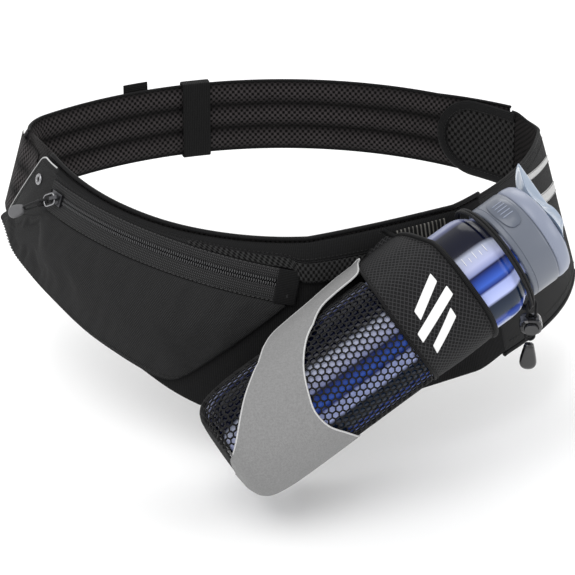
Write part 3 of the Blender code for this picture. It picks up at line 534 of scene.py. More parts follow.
FAN_PITCH = 3.1
LOOKS = {
    "knit": fabric("knit_look", (0.007, 0.007, 0.0072), (0.050, 0.050, 0.051), knit(1.3, 1.1), 0.2),
    "lining": fabric("lining_look", (0.002, 0.002, 0.002), (0.02, 0.018, 0.018), holes(3.4, 4.0), 0.5),
    "air_mesh": fabric("air_mesh_look", (0.001, 0.001, 0.001), (0.050, 0.044, 0.045),
                       quilted(holes(4.4, 4.8, 2.2), 19.9), 0.9, patch=0.5),
    "coarse_mesh": fabric("coarse_mesh_look", (0.001, 0.001, 0.001), (0.030, 0.029, 0.029),
                          holes(5.2, 6.2, 2.2), 1.2),
    "spacer": fabric("spacer_look", (0.002, 0.002, 0.002), (0.030, 0.030, 0.030),
                     holes(3.6, 4.6, 2.0), 0.6),
    "outer_cloth": fabric("outer_cloth_look", (0.010, 0.009, 0.012), (0.022, 0.019, 0.025),
                          knit(1.3, 1.2), 0.12, sheen=0.15),
    "tape_soft": fabric("tape_soft_look", (0.006, 0.006, 0.0062), (0.026, 0.026, 0.027),
                        ribs(1.9), 0.25),
    "plain": fabric("plain_look", (0.005, 0.005, 0.0052), (0.013, 0.013, 0.0135), ribs(1.2), 0.12),
    "tape": fabric("tape_look", (0.003, 0.003, 0.003), (0.085, 0.085, 0.087), knit(1.3, 1.6), 0.3),
    "webbing": fabric("webbing_look", (0.006, 0.006, 0.006), (0.015, 0.015, 0.0153),
                      ribs(1.4, True), 0.2),
    "binding": fabric("binding_look", (0.003, 0.003, 0.0032), (0.010, 0.010, 0.0105),
                      ribs(1.1, True), 0.15, roughness=0.6),
    "loop": fabric("loop_look", (0.006, 0.006, 0.006), (0.025, 0.025, 0.026), pile(1.3), 0.9),
    "ripstop": fabric("ripstop_look", (0.006, 0.006, 0.0065), (0.040, 0.040, 0.042), ripstop(3.9),
                      0.25, roughness=0.7),
    "net": fabric("net_look", (0.004, 0.004, 0.0042), (0.016, 0.016, 0.0165), braid(1.2), 0.1,
                  roughness=0.55),
    "cord": fabric("cord_look", (0.004, 0.004, 0.0045), (0.020, 0.020, 0.021), braid(1.6), 0.25,
                   roughness=0.5),
    "grey_cloth": fabric("grey_cloth_look", (0.215, 0.215, 0.215), (0.24, 0.24, 0.24),
                         ribs(0.9), 0.04, roughness=0.6, patch=0.06),
    "light_edge": fabric("light_edge_look", (0.42, 0.42, 0.42), (0.62, 0.62, 0.62), ribs(1.0), 0.1),
    "hollow": fabric("hollow_look", (0.001, 0.001, 0.001), (0.003, 0.003, 0.003), ribs(1.0), 0.1),
    "elastic": fabric("elastic_look", (0.008, 0.008, 0.008), (0.17, 0.165, 0.15), fan_lines, 0.2),
    "stitch": fabric("stitch_look", (0.035, 0.035, 0.035), (0.075, 0.075, 0.075), braid(0.5), 0.05),
    "dark_stitch": fabric("dark_stitch_look", (0.014, 0.014, 0.014), (0.035, 0.035, 0.035),
                          braid(0.5), 0.05),
    "reflective": fabric("reflective_look", (0.42, 0.42, 0.42), (0.56, 0.56, 0.56), ripstop(1.6),
                         0.06, roughness=0.45, patch=0.1),
    "print": hard("print_look", (0.8, 0.8, 0.8), 0.5, wear=0.0),
    "bright_metal": hard("bright_metal_look", (0.28, 0.28, 0.29), 0.25, 1.0),
    "dark_metal": hard("dark_metal_look", (0.055, 0.055, 0.06), 0.34, 1.0, wear=0.3),
    "teeth": hard("teeth_look", (0.035, 0.035, 0.037), 0.35, coat=0.2),
    "grip": hard("grip_look", (0.10, 0.10, 0.105), 0.5, depth=0.06),
    "black_plastic": hard("black_plastic_look", (0.009, 0.009, 0.01), 0.24, coat=0.5),
    "cap": hard("cap_look", (0.115, 0.13, 0.165), 0.36, coat=0.1),
    "pad": hard("pad_look", (0.085, 0.10, 0.135), 0.3, coat=0.3),
    "lid": hard("lid_look", (0.22, 0.245, 0.32), 0.34, coat=0.1),
    "pale": hard("pale_look", (0.40, 0.48, 0.60), 0.22, coat=0.2, Transmission_Weight=0.35, IOR=1.3),
    "seal": hard("seal_look", (0.05, 0.05, 0.06), 0.6),
    "bottle": bottle_look(),
}


# ---------------------------------------------------------------- meshes

def finish_mesh(name, mesh, look, crease=45):
    piece = bpy.data.objects.new(name, mesh)
    bpy.context.scene.collection.objects.link(piece)
    for key in (look if isinstance(look, tuple) else (look,)):
        mesh.materials.append(LOOKS[key])
    mesh.shade_smooth()
    if crease:
        mesh.set_sharp_from_angle(angle=math.radians(crease))
    return piece


def mesh_from(name, points, faces, charts=None, sides=None, outward=True):
    """Mesh in metres from points in millimetres; charts has one (u, v) per face corner."""
    mesh = bpy.data.meshes.new(name)
    mesh.from_pydata([world(p) for p in points], [], faces)
    if charts:
        layer = mesh.uv_layers.new(name="chart")
        for at, place in zip(layer.data, [c for face in charts for c in face]):
            at.uv = place
    if sides:
        mesh.polygons.foreach_set("material_index", sides)
    if outward:
        work = bmesh.new()
        work.from_mesh(mesh)
        bmesh.ops.recalc_face_normals(work, faces=work.faces)
        work.to_mesh(mesh)
        work.free()
    return mesh


def settle(piece):
    """Applies every modifier on the piece."""
    graph = bpy.context.evaluated_depsgraph_get()
    made = bpy.data.meshes.new_from_object(piece.evaluated_get(graph))
    made.name = piece.name
    piece.modifiers.clear()
    piece.data = made
    return piece


def subdivide(piece, levels=1):
    step = piece.modifiers.new("round", 'SUBSURF')
    step.levels = levels
    step.render_levels = levels
    return settle(piece)


def sheet(name, columns, rows, outer, inner, look, closed=False, levels=1, crease=0):
    """Slab between two surfaces given over the unit square; the chart is in millimetres."""
    points = []
    for i in range(columns + (0 if closed else 1)):
        for j in range(rows + 1):
            points.append(outer(i / columns, j / rows))
            points.append(inner(i / columns, j / rows))
    wide = running_lengths([outer(i / columns, 0.5) for i in range(columns + 1)])
    tall = [running_lengths([outer(i / columns, j / rows) for j in range(rows + 1)])
            for i in range(columns + 1)]
    middle = [column[rows // 2] for column in tall]
    faces = []
    charts = []
    sides = []

    def add(corners, side):
        faces.append([2 * ((i % (len(points) // (2 * rows + 2))) * (rows + 1) + j) + s
                      for i, j, s in corners])
        charts.append([(wide[i], tall[i][j] - middle[i]) for i, j, s in corners])
        sides.append(side)

    for i in range(columns):
        for j in range(rows):
            for s in (0, 1):
                add(((i, j, s), (i + 1, j, s), (i + 1, j + 1, s), (i, j + 1, s)), s)
        for j in (0, rows):
            add(((i, j, 0), (i + 1, j, 0), (i + 1, j, 1), (i, j, 1)), 0)
    if not closed:
        for i in (0, columns):
            for j in range(rows):
                add(((i, j, 0), (i, j + 1, 0), (i, j + 1, 1), (i, j, 1)), 0)
    mesh = mesh_from(name, points, faces, charts, sides if isinstance(look, tuple) else None)
    piece = finish_mesh(name, mesh, look, crease)
    return subdivide(piece, levels) if levels else piece


def slab(name, columns, rows, place, outer, inner, look, **settings):
    """Sheet between two offsets of one placing function."""
    return sheet(name, columns, rows, lambda u, v: place(u, v, outer),
                 lambda u, v: place(u, v, inner), look, **settings)


def membrane(name, columns, rows, place, look):
    """Single open layer for the cloth simulation, thickened afterwards."""
    points = [place(i / columns, j / rows) for i in range(columns + 1) for j in range(rows + 1)]
    wide = running_lengths([place(i / columns, 0.5) for i in range(columns + 1)])
    faces = []
    charts = []
    for i in range(columns):
        for j in range(rows):
            corners = ((i, j), (i + 1, j), (i + 1, j + 1), (i, j + 1))
            faces.append([a * (rows + 1) + b for a, b in corners])
            charts.append([(wide[a], (points[a * (rows + 1) + b]
                                      - points[a * (rows + 1)]).length) for a, b in corners])
    return finish_mesh(name, mesh_from(name, points, faces, charts, outward=False), look, 0)


def thicken(piece, thickness):
    step = piece.modifiers.new("thickness", 'SOLIDIFY')
    step.thickness = thickness * MM
    step.offset = 0
    return settle(piece)


def tube(name, path, radius, look, closed=False, sides=12, crease=0, squash=1.0):
    """Round cord along a path; radius may be one number or one for every point."""
    count = len(path)
    radii = radius if isinstance(radius, list) else [radius] * count
    points = []
    normal = None
    for i, point in enumerate(path):
        before = path[(i - 1) % count] if closed or i else point
        after = path[(i + 1) % count] if closed or i < count - 1 else point
        along = (after - before).normalized()
        if normal is None:
            normal = along.orthogonal().normalized()
        normal = (normal - along * normal.dot(along)).normalized()
        other = along.cross(normal)
        for k in range(sides):
            a = 2 * math.pi * k / sides
            points.append(point + radii[i] * (normal * math.cos(a) + other * math.sin(a) * squash))
    lengths = running_lengths(path + [path[0]])
    shift = 0
    if closed:
        shift = min(range(sides), key=lambda s: sum(
            (points[(count - 1) * sides + i] - points[(i + s) % sides]).length
            for i in range(sides)))
    faces = []
    charts = []
    girth = 2 * math.pi * max(radii) / sides
    for k in range(count if closed else count - 1):
        turned = shift if k == count - 1 else 0
        m = (k + 1) % count
        for i in range(sides):
            j = (i + 1) % sides
            faces.append((k * sides + i, k * sides + j,
                          m * sides + (j + turned) % sides, m * sides + (i + turned) % sides))
            charts.append(((i * girth, lengths[k]), ((i + 1) * girth, lengths[k]),
                           ((i + 1) * girth, lengths[k + 1]), (i * girth, lengths[k + 1])))
    if not closed:
        for start in (0, (count - 1) * sides):
            faces.append(tuple(range(start, start + sides)))
            charts.append([(0, 0)] * sides)
    return finish_mesh(name, mesh_from(name, points, faces, charts), look, crease)


def lathe(name, profile, frame_of, look, segments=96, crease=35):
    """Turned body from a closed profile of (along, radius); radius 0 makes a pole."""
    centre, along, side, other = frame_of
    points = []
    starts = []
    for distance, radius in profile:
        starts.append(len(points))
        for k in range(segments if radius else 1):
            angle = 2 * math.pi * k / segments
            arm = side * math.cos(angle) + other * math.sin(angle)
            points.append(centre + along * distance + arm * radius)
    faces = []
    charts = []
    lengths = running_lengths([Vector(p) for p in profile] + [Vector(profile[0])])
    widest = max(r for _, r in profile)
    open_ends = profile[0][1] == 0 and profile[-1][1] == 0
    for n in range(len(profile) - 1 if open_ends else len(profile)):
        m = (n + 1) % len(profile)
        for k in range(segments):
            j = (k + 1) % segments
            corners = []
            for row, at, turn, length in ((n, k, k, lengths[n]), (n, j, k + 1, lengths[n]),
                                          (m, j, k + 1, lengths[n + 1]), (m, k, k, lengths[n + 1])):
                index = starts[row] + (at if profile[row][1] else 0)
                if index not in [c[0] for c in corners]:
                    corners.append((index, (turn * 2 * math.pi * widest / segments, length)))
            faces.append([c[0] for c in corners])
            charts.append([c[1] for c in corners])
    return finish_mesh(name, mesh_from(name, points, faces, charts), look, crease)


def prism(name, outline, frame_of, heights, look, crease=35):
    """Outline of (x, y) pairs stacked at (height, scale) pairs along the frame's last axis."""
    centre, x_axis, y_axis, z_axis = frame_of
    middle_x = (max(x for x, _ in outline) + min(x for x, _ in outline)) / 2
    points = []
    for height, scale in heights:
        for x, y in outline:
            points.append(centre + x_axis * (middle_x + (x - middle_x) * scale)
                          + y_axis * y * scale + z_axis * height)
    count = len(outline)
    faces = [list(range(count)), list(range(len(points) - count, len(points)))]
    for k in range(len(heights) - 1):
        for i in range(count):
            j = (i + 1) % count
            faces.append([k * count + i, k * count + j, (k + 1) * count + j, (k + 1) * count + i])
    flat = [(x, y) for _ in heights for x, y in outline]
    charts = [[flat[index] for index in face] for face in faces]
    return finish_mesh(name, mesh_from(name, points, faces, charts), look, crease)


def join_tubes(name, runs, radius, look, sides=6):
    """Many short rounded threads in one piece; each run is a list of points."""
    points = []
    faces = []
    charts = []
    for run in runs:
        start = len(points)
        along = (run[-1] - run[0]).normalized()
        normal = along.orthogonal().normalized()
        other = along.cross(normal)
        for i, point in enumerate(run):
            size = radius * (0.45 if i in (0, len(run) - 1) else 1)
            for k in range(sides):
                a = 2 * math.pi * k / sides
                points.append(point + size * (normal * math.cos(a) + other * math.sin(a)))
        for k in range(len(run) - 1):
            for i in range(sides):
                j = (i + 1) % sides
                faces.append([start + k * sides + i, start + k * sides + j,
                              start + (k + 1) * sides + j, start + (k + 1) * sides + i])
                charts.append([(i, k), (i + 1, k), (i + 1, k + 1), (i, k + 1)])
        for base in (start, start + (len(run) - 1) * sides):
            faces.append(list(range(base, base + sides)))
            charts.append([(0, 0)] * sides)
    return finish_mesh(name, mesh_from(name, points, faces, charts), look, 0)


def stitch_runs(path, length=2.0, gap=1.2, lift=0.0, outward=None):
    """Threads of even length along a path, each arching a little."""
    lengths = running_lengths(path)
    runs = []
    at = gap
    while at + length < lengths[-1]:
        run = []
        for share in (0, 0.2, 0.5, 0.8, 1):
            point, _ = polyline_at(path, lengths, at + length * share)
            rise = lift * math.sin(math.pi * share)
            run.append(point + (outward(point) * rise if outward else Vector()))
        runs.append(run)
        at += length + gap
    return runs


def hex_net(name, place, width, height, pitch, strand, look, keep=None, wrap=False):
    """Open hexagon netting laid on a surface: place takes millimetres across and up."""
    columns = round(width / pitch)
    step = width / columns
    rise = step * math.sqrt(3) / 2
    radius = step / math.sqrt(3)
    numbers = {}
    points = []
    faces = []
    charts = []
    for row in range(int(height / rise) + 1):
        for column in range(columns):
            x = (column + 0.5 * (row % 2)) * step
            y = row * rise
            if not wrap and x + step / 2 > width:
                continue
            if keep and not keep(x, y):
                continue
            face = []
            for k in range(6):
                angle = math.radians(30 + 60 * k)
                corner_x = x + radius * math.cos(angle)
                corner_y = min(max(y + radius * math.sin(angle), 0), height)
                across = round((corner_x % width if wrap else corner_x) * 20)
                key = (across % round(width * 20) if wrap else across, round(corner_y * 20))
                if key not in numbers:
                    numbers[key] = len(points)
                    points.append(place(corner_x, corner_y))
                if numbers[key] not in face:
                    face.append(numbers[key])
            if len(face) > 2:
                faces.append(face)
                charts.append([(x, y)] * len(face))
    mesh = mesh_from(name, points, faces, charts)
    piece = finish_mesh(name, mesh, look, 0)
    wires = piece.modifiers.new("strands", 'WIREFRAME')
    wires.thickness = strand * MM
    wires.use_even_offset = False
    wires.use_boundary = True
    return settle(piece)


def ridden(piece, body, slot, *nodes):
    """Ties a finished piece to its body and the nodes it stands for; slot is not used."""
    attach(piece, body)
    if nodes:
        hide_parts(*nodes)
    return piece


def sew(name, runs, radius, slot, body="pack", look="dark_stitch"):
    return ridden(join_tubes(name, runs, radius, look), body, slot)


def bind(name, path, radius, sides, *nodes, look="binding", slot="binding", body="pack"):
    """Binding or cord laid along a path."""
    return ridden(tube(name, path, radius, look, sides=sides), body, slot, *nodes)


# ---------------------------------------------------------------- cloth

CLOTHS = []
CLOTH_FRAMES = 20


def padded(piece, pins, pressure, cap):
    """Queues a piece for the cloth run; pinned points hold its seams and edges."""
    CLOTHS.append((piece, pins, pressure, cap))
    return piece


def run_cloth():
    """Puffs every queued piece with gravity off, and caps how far its points move."""
    for piece, pins, pressure, _ in CLOTHS:
        group = piece.vertex_groups.new(name="pins")
        group.add(pins, 1.0, 'REPLACE')
        cloth = piece.modifiers.new("cloth", 'CLOTH')
        settings = cloth.settings
        settings.quality = 6
        settings.mass = 0.25
        settings.tension_stiffness = 12
        settings.compression_stiffness = 12
        settings.bending_stiffness = 0.6
        settings.vertex_group_mass = "pins"
        settings.use_pressure = True
        settings.uniform_pressure_force = pressure
        settings.effector_weights.gravity = 0
        settings.shrink_min = -0.015
        cloth.point_cache.frame_start = 1
        cloth.point_cache.frame_end = CLOTH_FRAMES
    scene = bpy.context.scene
    scene.frame_start = 1
    scene.frame_end = CLOTH_FRAMES
    for number in range(1, CLOTH_FRAMES + 1):
        scene.frame_set(number)
    graph = bpy.context.evaluated_depsgraph_get()
    for piece, _, _, cap in CLOTHS:
        moved = piece.evaluated_get(graph).to_mesh()
        for vertex, target in zip(piece.data.vertices, [v.co.copy() for v in moved.vertices]):
            step = target - vertex.co
            if step.length > cap * MM:
                step *= cap * MM / step.length
            vertex.co += step
        piece.modifiers.clear()
        piece.vertex_groups.clear()
    scene.frame_set(1)


# ---------------------------------------------------------------- front of the pack

def front_edges(u, slanted):
    """Turns of a front column at its lower and upper end."""
    low = -165.5 + 120.5 * u if slanted else -168 + 123 * u
    high = low + (14 * max(0.0, (-110 - low) / 55.5) if slanted else 0)
    return low, high


def front_place(u, v, out, slanted):
    low_turn, high_turn = front_edges(u, slanted)
    low = low_edge(low_turn)
    high = top_edge(high_turn) - (0.6 if slanted else 0)
    return ring_point(low_turn + (high_turn - low_turn) * v, low + (high - low) * v, out)


def pad_profile(v, rows, power=2.6):
    """0 at the seams between sewn rows and 1 along their crowns."""
    share = (v * rows) % 1.0
    return 1 - abs(2 * share - 1) ** power


def build_front():
    def rim(u, v):
        return min(1.0, 24 * min(v, 1 - v), 40 * min(u, 1 - u))

    def lining_in(u, v):
        return front_place(u, v, -3.3 - 1.1 * pad_profile(v, 2) * rim(u, v), False)

    lining = sheet("padded_lining", 110, 20, lambda u, v: front_place(u, v, -1.1, False), lining_in,
                   "lining", levels=0)
    ridden(subdivide(lining), "pack", "spacer_lining", "lining")
    panel = sheet("back_layer", 110, 22,
                  lambda u, v: front_place(u, v, 1.15 + 0.25 * math.sin(9 * u + 5 * v), True),
                  lambda u, v: front_place(u, v, 0, True), "plain")
    ridden(panel, "pack", "knit", "main_panel")


POUCH_LOW = (-165, -161, -157, -153, -149, -144, -139, -133.5, -128, -122.5, -117.5,
             -113, -109.5, -107)
POUCH_CORNER = (0.5,) * 10 + (1.0, 3.5, 8.0, 16.0)


def pouch_border():
    border = [Vector(place) for place in (
        (-165.5, -25, 2.4), (-158.5, -16.5, 3.2), (-152, -8.5, 4.2), (-146.8, -1.5, 4.8))]
    for angle in spread(TRACK_LEFT + 0.6, TRACK_RIGHT, 9):
        border.append(front_coordinates(track_point(angle, -SEAM_BELOW - 0.1, 0.2)))
    return border


POUCH_TOP = pouch_border()


def pouch_place(u, v, fullness=3.6):
    x = u * (len(POUCH_TOP) - 1)
    upper = smooth_list(POUCH_TOP, x)
    turn = smooth_list(POUCH_LOW, x)
    bulge = max(0, 1 - u / 0.5) ** 1.5
    height = low_edge(turn) + smooth_list(POUCH_CORNER, x) - 3.0 * bulge
    lower = Vector((turn, height, 3.0 + 4.0 * bulge))
    place = upper.lerp(lower, v)
    full = fullness * math.sin(math.pi * min(1, (0.18 + u) / 1.18)) ** 0.5
    out = place.z + full * max(math.sin(math.pi * v), 0) ** 0.7
    edge = max(0.0, v - 0.965) / 0.035
    out -= 1.3 * edge ** 2
    return ring_point(place.x, place.y, out)


def build_pouch():
    columns, rows = 84, 36
    pouch = membrane("stretch_pouch", columns, rows, pouch_place, "knit")
    pins = []
    for i in range(columns + 1):
        for j in range(rows + 1):
            if i < 2 or i > columns - 2 or j < 2 or j > rows - 3:
                pins.append(i * (rows + 1) + j)
    padded(pouch, pins, -2.2, 3.0)
    return pouch


def finish_pouch(pouch):
    """Thickness, hem seams and the bound edge, after the cloth run."""
    thicken(pouch, 1.3)
    subdivide(pouch)
    ridden(pouch, "pack", "knit", "pouch_front")
    hem = [pouch_place(u, 0.955, 3.6) for u in spread(0.03, 1, 220)]
    bottom = [pouch_place(u, 0.995, 3.6) for u in spread(0.0, 1, 160)]
    side = [pouch_place(1, v) for v in spread(1, 0.02, 60)]
    piping = tube("pouch_piping", bottom + side[1:], 0.75, "binding", sides=8)
    ridden(piping, "pack", "binding")

    def outward(point):
        arm = point - FRONT_CENTRE
        return Vector((arm.x, arm.y, 40)).normalized()

    threads = join_tubes("pouch_stitches", stitch_runs(
        [p + outward(p) * 0.75 for p in hem], 2.0, 1.3, 0.25, outward), 0.28, "dark_stitch")
    ridden(threads, "pack", "knit")


def end_place(u, v, off):
    v *= 1 - 0.07 * max(0, 1 - u / 0.25) ** 2
    left = (-165.5 + 14 * v, -24.5 + 59.3 * v)
    right = (-143.6 - 0.4 * v, 1.5 + 31.5 * v)
    turn = left[0] + (right[0] - left[0]) * u
    height = left[1] + (right[1] - left[1]) * u
    bulge = 0.5 * math.sin(math.pi * u) * math.sin(math.pi * v)
    out = 2.6 + (ZIP_OUT - 2.6) * u ** 0.7 * (1 - 0.75 * u * v)
    return ring_point(turn, height, out + off + bulge)


# Turn, height and distance off the ring.
EYELET_PLACE = (-150.3, 19.0, 4.05)


def eyelet_frame():
    centre = ring_point(*EYELET_PLACE)
    angle = math.radians(EYELET_PLACE[0])
    outward = Vector((math.cos(angle), math.sin(angle), FLARE)).normalized()
    side = outward.cross(Vector((0, 0, 1))).normalized()
    return centre, outward, side, outward.cross(side)


def build_end():
    panel = slab("pouch_end", 40, 48, end_place, 0.45, -0.6, "knit", levels=0)
    centre, outward, _, _ = eyelet_frame()
    work = bmesh.new()
    work.from_mesh(panel.data)
    reach = 2.1 * MM
    middle = world(centre)
    near = [f for f in work.faces if (f.calc_center_median() - middle
                                      - outward * (f.calc_center_median() - middle).dot(outward)
                                      ).length < reach]
    walls = {}
    for face in near:
        for edge in face.edges:
            walls.setdefault(edge, []).append(face)
    border = [e for e, found in walls.items() if len(found) == 1 and len(e.link_faces) == 2]
    bmesh.ops.delete(work, geom=near, context='FACES_ONLY')
    bmesh.ops.bridge_loops(work, edges=border)
    work.to_mesh(panel.data)
    work.free()
    ridden(subdivide(panel), "pack", "webbing", "end_panel")
    # The end's bound rim is drawn in light grey: a painted highlight along its edge.
    rim = [end_place(0, v, 0.1) for v in spread(0.0, 0.985, 40)]
    rim += [end_place(u, 1, 0.1) for u in spread(0.04, 0.9, 16)]
    trim = tube("end_trim_painted_highlight", rim, 0.55, "light_edge", sides=8)
    ridden(trim, "pack", "binding")
    threads = [end_place(0.11, v, 0.62) for v in spread(0.04, 0.93, 60)]
    threads += [end_place(u, 0.93, 0.62) for u in spread(0.13, 0.95, 30)]
    ridden(join_tubes("end_stitches", stitch_runs(threads, 1.8, 1.1), 0.26, "dark_stitch"),
           "pack", "webbing")
    frame_of = eyelet_frame()
    ring = lathe("eyelet_ring", ((0.7, 4.0), (1.3, 3.8), (1.75, 3.2), (1.7, 2.7), (1.3, 2.2),
                                 (-1.2, 2.1), (-1.2, 1.75), (1.5, 1.75), (1.95, 2.1), (2.1, 2.8),
                                 (2.0, 3.5), (1.4, 4.1)), frame_of, "bright_metal", 40, 60)
    ridden(ring, "pack", "bright_metal", "eyelet")
    # Near-black disc inside the eyelet: painted shade where its hole opens into the pack.
    hollow = lathe("eyelet_hole_shade", ((0.9, 0), (0.9, 1.8), (1.35, 1.8), (1.35, 0)), frame_of,
                   "hollow", 24, 60)
    ridden(hollow, "pack", "webbing")


def band_lines():
    lower = [track_point(angle, SEAM_ABOVE + 0.1, 0) for angle in
             spread(TRACK_LEFT, TRACK_RIGHT, 11)]
    lower += [ring_point(turn, height, out) for turn, height, out in
              ((-85, -7, 3.6), (-69, -9, 2.4), (-53, -10, 2.2))]
    turns = spread(-144.3, -90.5, 11) + [-85, -69, -53]
    return lower, turns


BAND_LOW, BAND_TURNS = band_lines()


def band_place(u, v, off):
    x = u * (len(BAND_TURNS) - 1)
    turn = smooth_list(BAND_TURNS, x)
    low = smooth_list(BAND_LOW, x)
    high = ring_point(turn, top_edge(turn) - 0.4, 2.2)
    middle = low.lerp(high, v)
    angle = math.radians(turn)
    outward = Vector((math.cos(angle), math.sin(angle), FLARE)).normalized()
    return middle + outward * (1.2 * math.sin(math.pi * v) + off)


SEAM_SHARE = 0.53


def build_band():
    """Ribbed lower part by the zip, a spacer strip at its right, and a plain upper border."""
    lower = sheet("band_lower", 110, 8, lambda u, v: band_place(u, v * SEAM_SHARE, 0.5),
                  lambda u, v: band_place(u, v * SEAM_SHARE, -0.6), ("tape_soft", "plain"))
    ridden(lower, "pack", "webbing", "top_band")
    upper = sheet("band_upper", 110, 8,
                  lambda u, v: band_place(u, SEAM_SHARE + (1 - SEAM_SHARE) * v,
                                          0.55 + 0.7 * math.sin(math.pi * v) ** 0.5),
                  lambda u, v: band_place(u, SEAM_SHARE + (1 - SEAM_SHARE) * v, -0.5), "plain")
    ridden(upper, "pack", "webbing")
    inset = sheet("spacer_strip", 60, 8,
                  lambda u, v: band_place(0.50 + 0.47 * u, SEAM_SHARE * (0.06 + 0.90 * v), 1.0),
                  lambda u, v: band_place(0.50 + 0.47 * u, SEAM_SHARE * (0.06 + 0.90 * v), 0.55),
                  "spacer")
    ridden(inset, "pack", "air_mesh")
    groove = tube("band_cord", [band_place(u, SEAM_SHARE, 0.75) for u in spread(0.0, 1, 200)], 0.55,
                  "binding", sides=8)
    ridden(groove, "pack", "binding")
    runs = []
    for share in (SEAM_SHARE - 0.05, SEAM_SHARE + 0.07):
        line = [band_place(u, share, 0.85) for u in spread(0.01, 0.98, 240)]
        runs += stitch_runs(line, 1.8, 1.1)
    sew("band_stitches", runs, 0.24, "webbing")
    turns = spread(-149.5, -45.5, 150)
    path = [ring_point(turn, top_edge(turn) + 1.5, 0.4) for turn in turns]
    bind("top_edge_piping", path, 1.5, 12, "top_piping")


# ---------------------------------------------------------------- zip

def zip_strip(name, low, high, thickness, look, rows, lift):
    def place(u, v, side):
        crown = lift * math.sin(math.pi * v)
        return track_point(TRACK_LEFT + (TRACK_RIGHT - TRACK_LEFT) * u, low + (high - low) * v,
                           side * thickness / 2 + crown)
    return slab(name, 120, rows, place, 1, -1, look)


def build_zip():
    ridden(zip_strip("tape_upper", 2.2, SEAM_ABOVE, 1.1, "tape", 8, 0.7), "pack",
           "zip_tape", "zip_tape_upper")
    ridden(zip_strip("tape_lower", -SEAM_BELOW, -2.2, 1.1, "tape", 8, 0.8), "pack",
           "zip_tape", "zip_tape_lower")
    pitch = math.degrees(1.55 / TRACK_RADIUS)
    for name, sign, shift, stood in (("coil_upper", 1, 0.0, "zip_teeth_upper"),
                                     ("coil_lower", -1, 0.5, "zip_teeth_lower")):
        runs = []
        angle = TRACK_LEFT + 1.2 + pitch * shift
        while angle < TRACK_RIGHT - 1.2:
            runs.append([track_point(angle + pitch * 0.28 * math.sin(t * math.pi),
                                     sign * (2.55 - 2.5 * t), 0.55 + 0.4 * math.sin(math.pi * t))
                         for t in (0, 0.25, 0.5, 0.75, 1)])
            angle += pitch
        ridden(join_tubes(name, runs, 0.48, "teeth", 6), "pack", "zip_teeth", stood)
    runs = []
    for across in (SEAM_ABOVE - 0.7, -SEAM_BELOW + 0.7):
        line = [track_point(a, across, 0.85) for a in spread(TRACK_LEFT + 0.5, TRACK_RIGHT - 0.5, 240)]
        runs += stitch_runs(line, 1.7, 1.3)
    ridden(join_tubes("zip_stitches", runs, 0.3, "stitch"), "pack", "zip_tape")
    for side in ("left", "right"):
        recolour("zip_stop_" + side, "hollow")


def build_zip_end():
    """Tab of cloth sewn over the zip's right end."""
    def place(u, v, off):
        angle = TRACK_RIGHT - 2.6 + 4.0 * u
        return track_point(angle, -SEAM_BELOW - 0.6 + (SEAM_BELOW + SEAM_ABOVE + 0.8) * v,
                           1.5 + off - 1.2 * u)
    tab = slab("zip_end_tab", 10, 20, place, 0.45, -0.4, "binding")
    ridden(tab, "pack", "knit")


def pull_frame():
    centre, along, across, outward = track_frame(0)
    down = (-along * 0.80 - across * 0.60 + outward * 0.12).normalized()
    pivot = centre + outward * 5.0
    side = down.cross(outward).normalized()
    return pivot, down, side, side.cross(down)


def round_outline(length, width, corner, steps=6):
    outline = []
    for quarter, (sx, sy) in enumerate(((1, 1), (-1, 1), (-1, -1), (1, -1))):
        centre = (sx * (length / 2 - corner), sy * (width / 2 - corner))
        for k in range(steps + 1):
            angle = math.radians(90 * quarter + 90 * k / steps)
            outline.append((centre[0] + corner * math.cos(angle),
                            centre[1] + corner * math.sin(angle)))
    return outline


def round_off(name, levels=2, width=0.35):
    """Bevels a CAD part's edges without changing its mesh."""
    step = frame["nodes"][name].modifiers.new("soft_edges", 'BEVEL')
    step.width = width * MM
    step.segments = levels
    step.limit_method = 'ANGLE'


def build_slider():
    for name in ("zip_slider", "slider_crown"):
        recolour(name, "dark_metal")
        round_off(name)
    pivot, down, side, outward = pull_frame()
    wire = [pivot + down * (x + 4.4) + side * y for x, y in round_outline(10.0, 7.6, 2.6, 6)]
    ridden(tube("pull_wire", wire, 0.6, "bright_metal", True, 10), "pull", "slider_metal", "zip_bail")
    strands = []
    for sign in (1, -1):
        strands.append([pivot + down * x + outward * (2.2 * sign * math.sin(math.pi * s) ** 0.35)
                        + side * (0.9 * sign) for s, x in
                        zip(spread(0.02, 0.98, 20), spread(7.0, 29.4, 20))])
    loop = strands[0] + list(reversed(strands[1]))
    ridden(tube("pull_cord", loop, 0.8, "cord", True, 10), "pull", "pull_cord", "zip_pull_cord")
    wrap = []
    for k in range(61):
        angle = 2 * math.pi * k / 15
        wrap.append(pivot + down * (11.6 + 3.4 * k / 60) + side * (2.2 * math.cos(angle))
                    + outward * (2.6 * math.sin(angle)))
    ridden(tube("pull_wrap", wrap, 0.5, "cord", False, 8), "pull", "pull_cord")
    outline = [(0, 2.6), (2, 3.3), (5, 4.1), (9, 4.6), (12, 4.3), (14, 3.2), (15.2, 1.6), (15.6, 0)]
    outline += [(x, -y) for x, y in reversed(outline[:-1])]
    start = pivot + down * 30.0
    heights = ((-2.4, 0.62), (-2.1, 0.8), (-1.3, 0.96), (0, 1), (1.3, 0.96), (2.1, 0.8), (2.4, 0.62))
    grip = prism("pull_grip", outline, (start, down, side, outward), heights, "grip", 0)
    ridden(subdivide(grip), "pull", "grip_rubber", "zip_pull_grip")


def recolour(name, look):
    data = frame["nodes"][name].data
    for index in range(max(1, len(data.materials))):
        if index < len(data.materials):
            data.materials[index] = LOOKS[look]
        else:
            data.materials.append(LOOKS[look])


# ---------------------------------------------------------------- wing and tab

def wing_out(turn):
    return from_table(((-9.2, -0.6), (45.3, -8.0)), turn)


def wing_turn(u):
    return from_table(((0, -46.4), (0.75, -2), (1, 46.0)), u)


